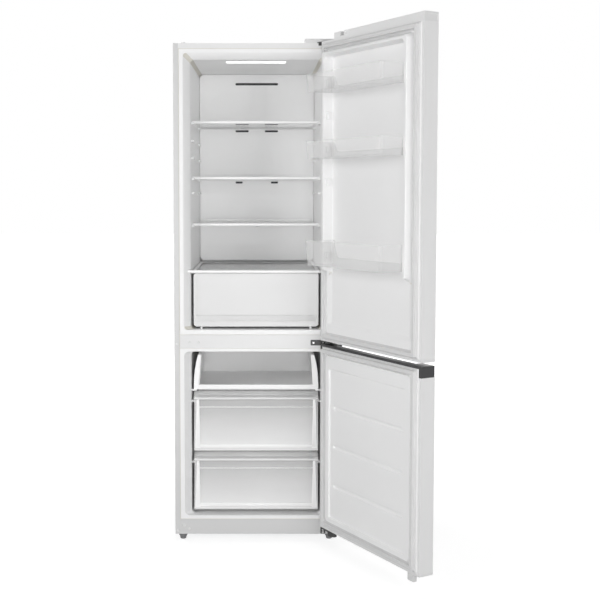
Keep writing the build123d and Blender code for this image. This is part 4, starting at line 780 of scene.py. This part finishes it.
class FRIDGE_OT_balconies(bpy.types.Operator):
    """Clear balconies on the upper door: leaning walls, thicker rim, low back, grooves round the lugs"""

    bl_idname = "fridge.balconies"
    bl_label = "Balconies"

    def execute(self, context):
        bead = 1000 * context.scene.fridge_forms.rim_bead
        middle, reach = sum(BALCONY_Y) / 2, (BALCONY_Y[1] - BALCONY_Y[0]) / 2
        for name, (level, height) in BALCONIES.items():
            # a row is a share of the wall's height, the distance to its outer face, and a fixed rise;
            # rows go up outside, over the bead and down inside, and a groove's ends below the bead,
            # which begins 5 mm under the rim, get a row each
            grooved = [end / height for end in GROOVE_ENDS if end < height - 5]
            rows = np.array([
                (0, 3.0, 0), (0, 1.0, 0.35), (0, 0.2, 1.1), (0, 0.0, 2.2), (0.2, 0, 0),
                *[(end, 0, 0) for end in grooved], (1, 0, -5.0),
                (1, -0.2, -3.6), (1, -0.2, -0.9), (1, 0.3, -0.2), (1, 1.0, 0), (1, 1.0 + bead, 0),
                (1, 1.8 + bead, -0.2), (1, 2.3 + bead, -0.9), (1, 2.3 + bead, -3.6), (1, 2.2, -5.0),
                *[(end, 2.2, 0) for end in grooved[::-1]], (0.2, 2.2, 0), (0, 2.4, 4.4), (0, 3.2, 3.0),
                (0, 4.6, 2.3),
            ])
            share, inward, lift = (column[:, None] for column in rows.T)
            ones = np.ones(len(rows))
            outline = (BALCONY_HALF, *BALCONY_Y, BALCONY_CORNER)
            u, v = rounded_rings(*(size * ones for size in outline), corner=7, side=30)
            # the back wall is low between its two corners
            back = soft_step((v + 8) / -8, 0.2) * soft_step((214 - np.abs(u)) / 14, 0.2)
            top = height - (height - BACK_HEIGHT) * back
            z = level + share * top + lift
            lean = 4 * (1 - np.clip((z - level) / height, 0, 1))
            # drawn in by the lean and by the distance to the outer face, about the tub's middle
            x = u * (BALCONY_HALF - lean - inward) / BALCONY_HALF
            y = middle - lean / 2 + (v - middle) * (reach - lean / 2 - inward) / reach
            # grooves: near the lug the end wall stands further in, up to just above the lug
            near_lug = soft_step((GROOVE_HALF - np.abs(y - sum(LUG_Y) / 2)) / 2.2, 0.2)
            near_lug = near_lug * soft_step((level + GROOVE_TOP - z) / 2.4, 0.2)
            deep = np.clip(np.abs(x) - (LUG_X[0] - GROOVE_CLEARANCE - inward), 0, None)
            x = x - np.sign(x) * deep * near_lug
            points = swing(np.stack([x, y, z], -1))
            piece(name + "_tub", points, capped_faces(*x.shape), "clear_plastic", name, name, sharp=45)
        return {"FINISHED"}


class FRIDGE_OT_shelf_trims(bpy.types.Operator):
    """Front and rear trims of the glass shelves: clipped channels with a rounded nose"""

    bl_idname = "fridge.shelf_trims"
    bl_label = "Shelf trims"

    def execute(self, context):
        trims = []
        for level in SHELF_LEVELS:
            # the section is carried along X; past the ledges a front trim's underside is lifted clear of them
            for section, half, ends, lift in (
                (FRONT_TRIM, wall_x(117) - 1, (0.5, 1.6), level - GLASS),
                (REAR_TRIM, wall_x(482) - 16, (0.4, 1.2), None),
            ):
                section = np.array(section) + (0, level)
                knees = (LEDGE_INNER - 0.4, LEDGE_INNER + 0.4) if lift else ()
                right = np.array([*knees, half - ends[1], half - ends[0], half])
                x = np.concatenate([-right[::-1], right])
                near_end = np.clip((ends[1] - (half - np.abs(x))) / ends[1], 0, 1)[:, None]
                middle = section.mean(0)
                y = section[None, :, 0] - near_end * 0.09 * (section[None, :, 0] - middle[0])
                z = section[None, :, 1] - near_end * 0.09 * (section[None, :, 1] - middle[1])
                if lift:
                    z = np.where(np.abs(x)[:, None] > LEDGE_INNER, np.maximum(z, lift + 0.02), z)
                grid = np.stack([np.repeat(x[:, None], y.shape[1], 1), y, z], -1)
                trims.append((grid.reshape(-1, 3), capped_faces(*y.shape)))
        points, faces = joined(trims)
        piece("shelf_trim_set", points, faces, "drawer_white", "cabinet", "shelf_trims", sharp=40)
        return {"FINISHED"}


class FRIDGE_OT_slot_painted_shade(bpy.types.Operator):
    """Painted shade in the air slots: a dark rounded bar set just behind each slot, where the duct lies in
    shade
    """

    bl_idname = "fridge.slot_shutters"
    bl_label = "Slot shutters"

    def execute(self, context):
        shade_bars = [
            across(
                (x0 + 0.4, x1 - 0.4), (PANEL_FRONT + 0.7, PANEL_FRONT + 2.3),
                (z - high / 2 + 0.2, z + high / 2 - 0.2), 0.5,
            )
            for x0, x1, z, high in AIR_SLOTS
        ]
        points, faces = joined(shade_bars)
        piece("slot_shutters", points, faces, "dark_plastic", "cabinet")
        return {"FINISHED"}


class FRIDGE_OT_drawer_strips(bpy.types.Operator):
    """White strips on the drawers' fronts: handle edge, fold, foot and posts, and the crisper's lip, with a
    pale grey band of painted shade over it
    """

    bl_idname = "fridge.drawer_strips"
    bl_label = "Drawer strips"

    def execute(self, context):
        for name, (low, high) in DRAWER_FRONTS.items():
            handle = high - HANDLE_DROP
            # the handle's edge, the fold under it and the foot
            strips = [
                across((-230.6, 230.6), (17.4, 25.5), (handle - 0.4, handle + 7.2), 2.6),
                across((-212, 212), (27.5, FRONT_FACE - 0.2), (handle - 31.6, handle - 28.8), 0.5),
                across((-209, 209), (25.9, FRONT_FACE), (low + 14, low + 27), 1.3),
            ]
            # side posts, wider at the foot: their inner and outer edges are straight lines of the rise
            bottom, top = low + 12, handle - 0.6
            for side in (-1, 1):
                points, faces = lug_bar((-1, 1), (25.7, FRONT_FACE), (bottom, top), 0.3)
                rise = (points[:, 2] - bottom) / (top - bottom)
                inner, outer = 207.5 + 4 * rise, 226.4 - 5.6 * rise
                points[:, 0] = side * (inner + outer + points[:, 0] * (outer - inner)) / 2
                strips.append((points, faces))
            points, faces = joined(strips)
            piece(f"{name}_drawer_strips", points, faces, "drawer_white", f"{name}_drawer")
        points, faces = across(*CRISPER_LIP, 1.4)
        piece("crisper_lip", points, faces, "drawer_white", "crisper")
        # painted shade: a pale grey band over the crisper's lip, where the front would lie in shade
        points, faces = across(*CRISPER_SHADE_BAND, 0.5)
        shade_band = piece("crisper_band", points, faces, "drawer_white", "crisper")
        shade_band.data.materials[0] = finish("pale_grey")
        return {"FINISHED"}


# strength of the white surroundings as light, and each lamp's place, target, side and share of the power
AMBIENT = 0.2
LAMPS = (
    ("soft_front", (0.1, -4.6, 1.45), (0, 0.3, 1.3), 1.2, 0.46),
    ("soft_low", (0.0, -4.0, 0.55), (0, 0.3, 0.65), 0.9, 0.38),
    ("soft_left", (-2.9, -3.1, 2.2), (0.1, 0, 1.0), 1.6, 1.05),
    ("soft_right", (2.4, -4.1, 1.6), (0.1, 0, 1.0), 1.6, 0.6),
    ("soft_left_flank", (-3.4, 3.0, 1.7), (-0.3, 0.4, 0.95), 1.6, 1.05),
    ("soft_right_flank", (3.7, 0.9, 1.7), (0.3, 0.2, 0.95), 1.6, 0.62),
    ("soft_back", (0.6, 4.2, 1.9), (0, 0.5, 0.95), 1.6, 0.3),
    ("soft_top", (0.0, 0.8, 4.6), (0, 0.3, 1.85), 1.4, 0.17),
)
CAMERA_PLACE = (0.0269, -3.8307, 1.2859)
CAMERA_TILT = 3.8
CAMERA_SHIFT = (0.0611, -0.06)
# the floor's own light as it is seen: nearest and furthest distance from the middle, and the levels there
FLOOR_GLOW = {"From Min": 0.6, "From Max": 4.5, "To Min": 0.66, "To Max": 1.0}


class FRIDGE_OT_stage(bpy.types.Operator):
    """White floor, soft studio light and the camera at the photograph's angle"""

    bl_idname = "fridge.stage"
    bl_label = "Stage"

    def execute(self, context):
        scene, stage = context.scene, context.scene.fridge_stage
        self.floor(stage)
        self.world(scene)
        self.lamps(scene, stage)
        camera = bpy.data.cameras.new("camera")
        camera.lens, camera.sensor_width = stage.lens, 36
        camera.shift_x, camera.shift_y = CAMERA_SHIFT
        camera.clip_end = 200
        holder = bpy.data.objects.new("camera", camera)
        holder.location = CAMERA_PLACE
        holder.rotation_euler = (math.radians(90 - CAMERA_TILT), 0, 0)
        scene.collection.objects.link(holder)
        scene.camera = holder
        scene.view_settings.view_transform = "Standard"
        return {"FINISHED"}

    @staticmethod
    def seen(tree):
        """1 for camera, glossy and transmission rays and 0 for those that only carry light."""
        path = put(tree, "ShaderNodeLightPath")
        first = put(
            tree, "ShaderNodeMath",
            {0: path.outputs["Is Camera Ray"], 1: path.outputs["Is Glossy Ray"]}, operation="MAXIMUM",
        )
        second = put(
            tree, "ShaderNodeMath",
            {0: first.outputs[0], 1: path.outputs["Is Transmission Ray"]}, operation="MAXIMUM",
        )
        return second.outputs[0]

    def floor(self, stage):
        """A flat floor, lit by the lamps and seen with a light of its own."""
        half = stage.floor_size / 2
        mesh = bpy.data.meshes.new("studio_floor")
        corners = [(-half, -half, 0), (half, -half, 0), (half, half, 0), (-half, half, 0)]
        mesh.from_pydata(corners, [], [(0, 1, 2, 3)])
        floor = bpy.data.objects.new("studio_floor", mesh)
        bpy.context.scene.collection.objects.link(floor)
        paint = bpy.data.materials.new("studio_floor")
        paint.use_nodes = True
        tree = paint.node_tree
        shader = tree.nodes["Principled BSDF"]
        shader.inputs["Base Color"].default_value = (0.55, 0.55, 0.55, 1)
        shader.inputs["Roughness"].default_value = 0.9
        shader.inputs["Specular IOR Level"].default_value = 0.1
        # the floor is seen brighter further out, where less lamp light falls on it
        place = put(tree, "ShaderNodeTexCoord").outputs["Object"]
        away = put(tree, "ShaderNodeVectorMath", {0: place}, operation="LENGTH")
        level = put(tree, "ShaderNodeMapRange", {"Value": away.outputs["Value"], **FLOOR_GLOW})
        glow = put(tree, "ShaderNodeMath", {0: self.seen(tree), 1: level.outputs[0]}, operation="MULTIPLY")
        shader.inputs["Emission Color"].default_value = (1, 1, 1, 1)
        tree.links.new(glow.outputs[0], shader.inputs["Emission Strength"])
        mesh.materials.append(paint)

    def world(self, scene):
        """White surroundings as they are seen, and dimmer as a light."""
        world = bpy.data.worlds.new("studio")
        scene.world = world
        world.use_nodes = True
        tree = world.node_tree
        light = tree.nodes["Background"]
        light.inputs["Color"].default_value = (1, 1, 1, 1)
        strength = put(
            tree, "ShaderNodeMapRange", {"Value": self.seen(tree), "To Min": AMBIENT, "To Max": 1.0}
        )
        tree.links.new(strength.outputs[0], light.inputs["Strength"])

    def lamps(self, scene, stage):
        """Soft square lamps, each turned from its place to its target."""
        for name, place, target, size, share in LAMPS:
            data = bpy.data.lights.new(name, "AREA")
            data.size = size
            data.energy = stage.lamp_power * share
            lamp = bpy.data.objects.new(name, data)
            lamp.visible_camera = False
            lamp.location = place
            lamp.rotation_euler = (Vector(target) - Vector(place)).to_track_quat("-Z", "Y").to_euler()
            scene.collection.objects.link(lamp)


class FRIDGE_PT_build(bpy.types.Panel):
    """Lists the steps of the build and the values they read"""

    bl_label = "Refrigerator"
    bl_idname = "FRIDGE_PT_build"
    bl_space_type = "VIEW_3D"
    bl_region_type = "UI"
    bl_category = "Refrigerator"

    def draw(self, context):
        layout = self.layout
        for group in (context.scene.fridge_colours, context.scene.fridge_forms, context.scene.fridge_stage):
            box = layout.box()
            for name in group.__annotations__:
                box.prop(group, name)
        for step in STEPS:
            layout.operator(step.bl_idname)


STEPS = (
    FRIDGE_OT_finishes,
    FRIDGE_OT_gaskets,
    FRIDGE_OT_upper_liner,
    FRIDGE_OT_freezer_liner,
    FRIDGE_OT_room_liner,
    FRIDGE_OT_balconies,
    FRIDGE_OT_shelf_trims,
    FRIDGE_OT_slot_painted_shade,
    FRIDGE_OT_drawer_strips,
    FRIDGE_OT_stage,
)
GROUPS = {"fridge_colours": FridgeColours, "fridge_forms": FridgeForms, "fridge_stage": FridgeStage}


def register():
    for group in GROUPS.values():
        bpy.utils.register_class(group)
    for step in STEPS:
        bpy.utils.register_class(step)
    bpy.utils.register_class(FRIDGE_PT_build)
    for name, group in GROUPS.items():
        setattr(bpy.types.Scene, name, bpy.props.PointerProperty(type=group))


def unregister():
    for name in GROUPS:
        delattr(bpy.types.Scene, name)
    bpy.utils.unregister_class(FRIDGE_PT_build)
    for kind in (*STEPS, *GROUPS.values()):
        bpy.utils.unregister_class(kind)


def main():
    """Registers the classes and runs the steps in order."""
    register()
    for step in STEPS:
        group, name = step.bl_idname.split(".")
        if getattr(getattr(bpy.ops, group), name)() != {"FINISHED"}:
            raise RuntimeError(f"{step.bl_label} wasn't finished")


if __name__ == "__main__":
    main()
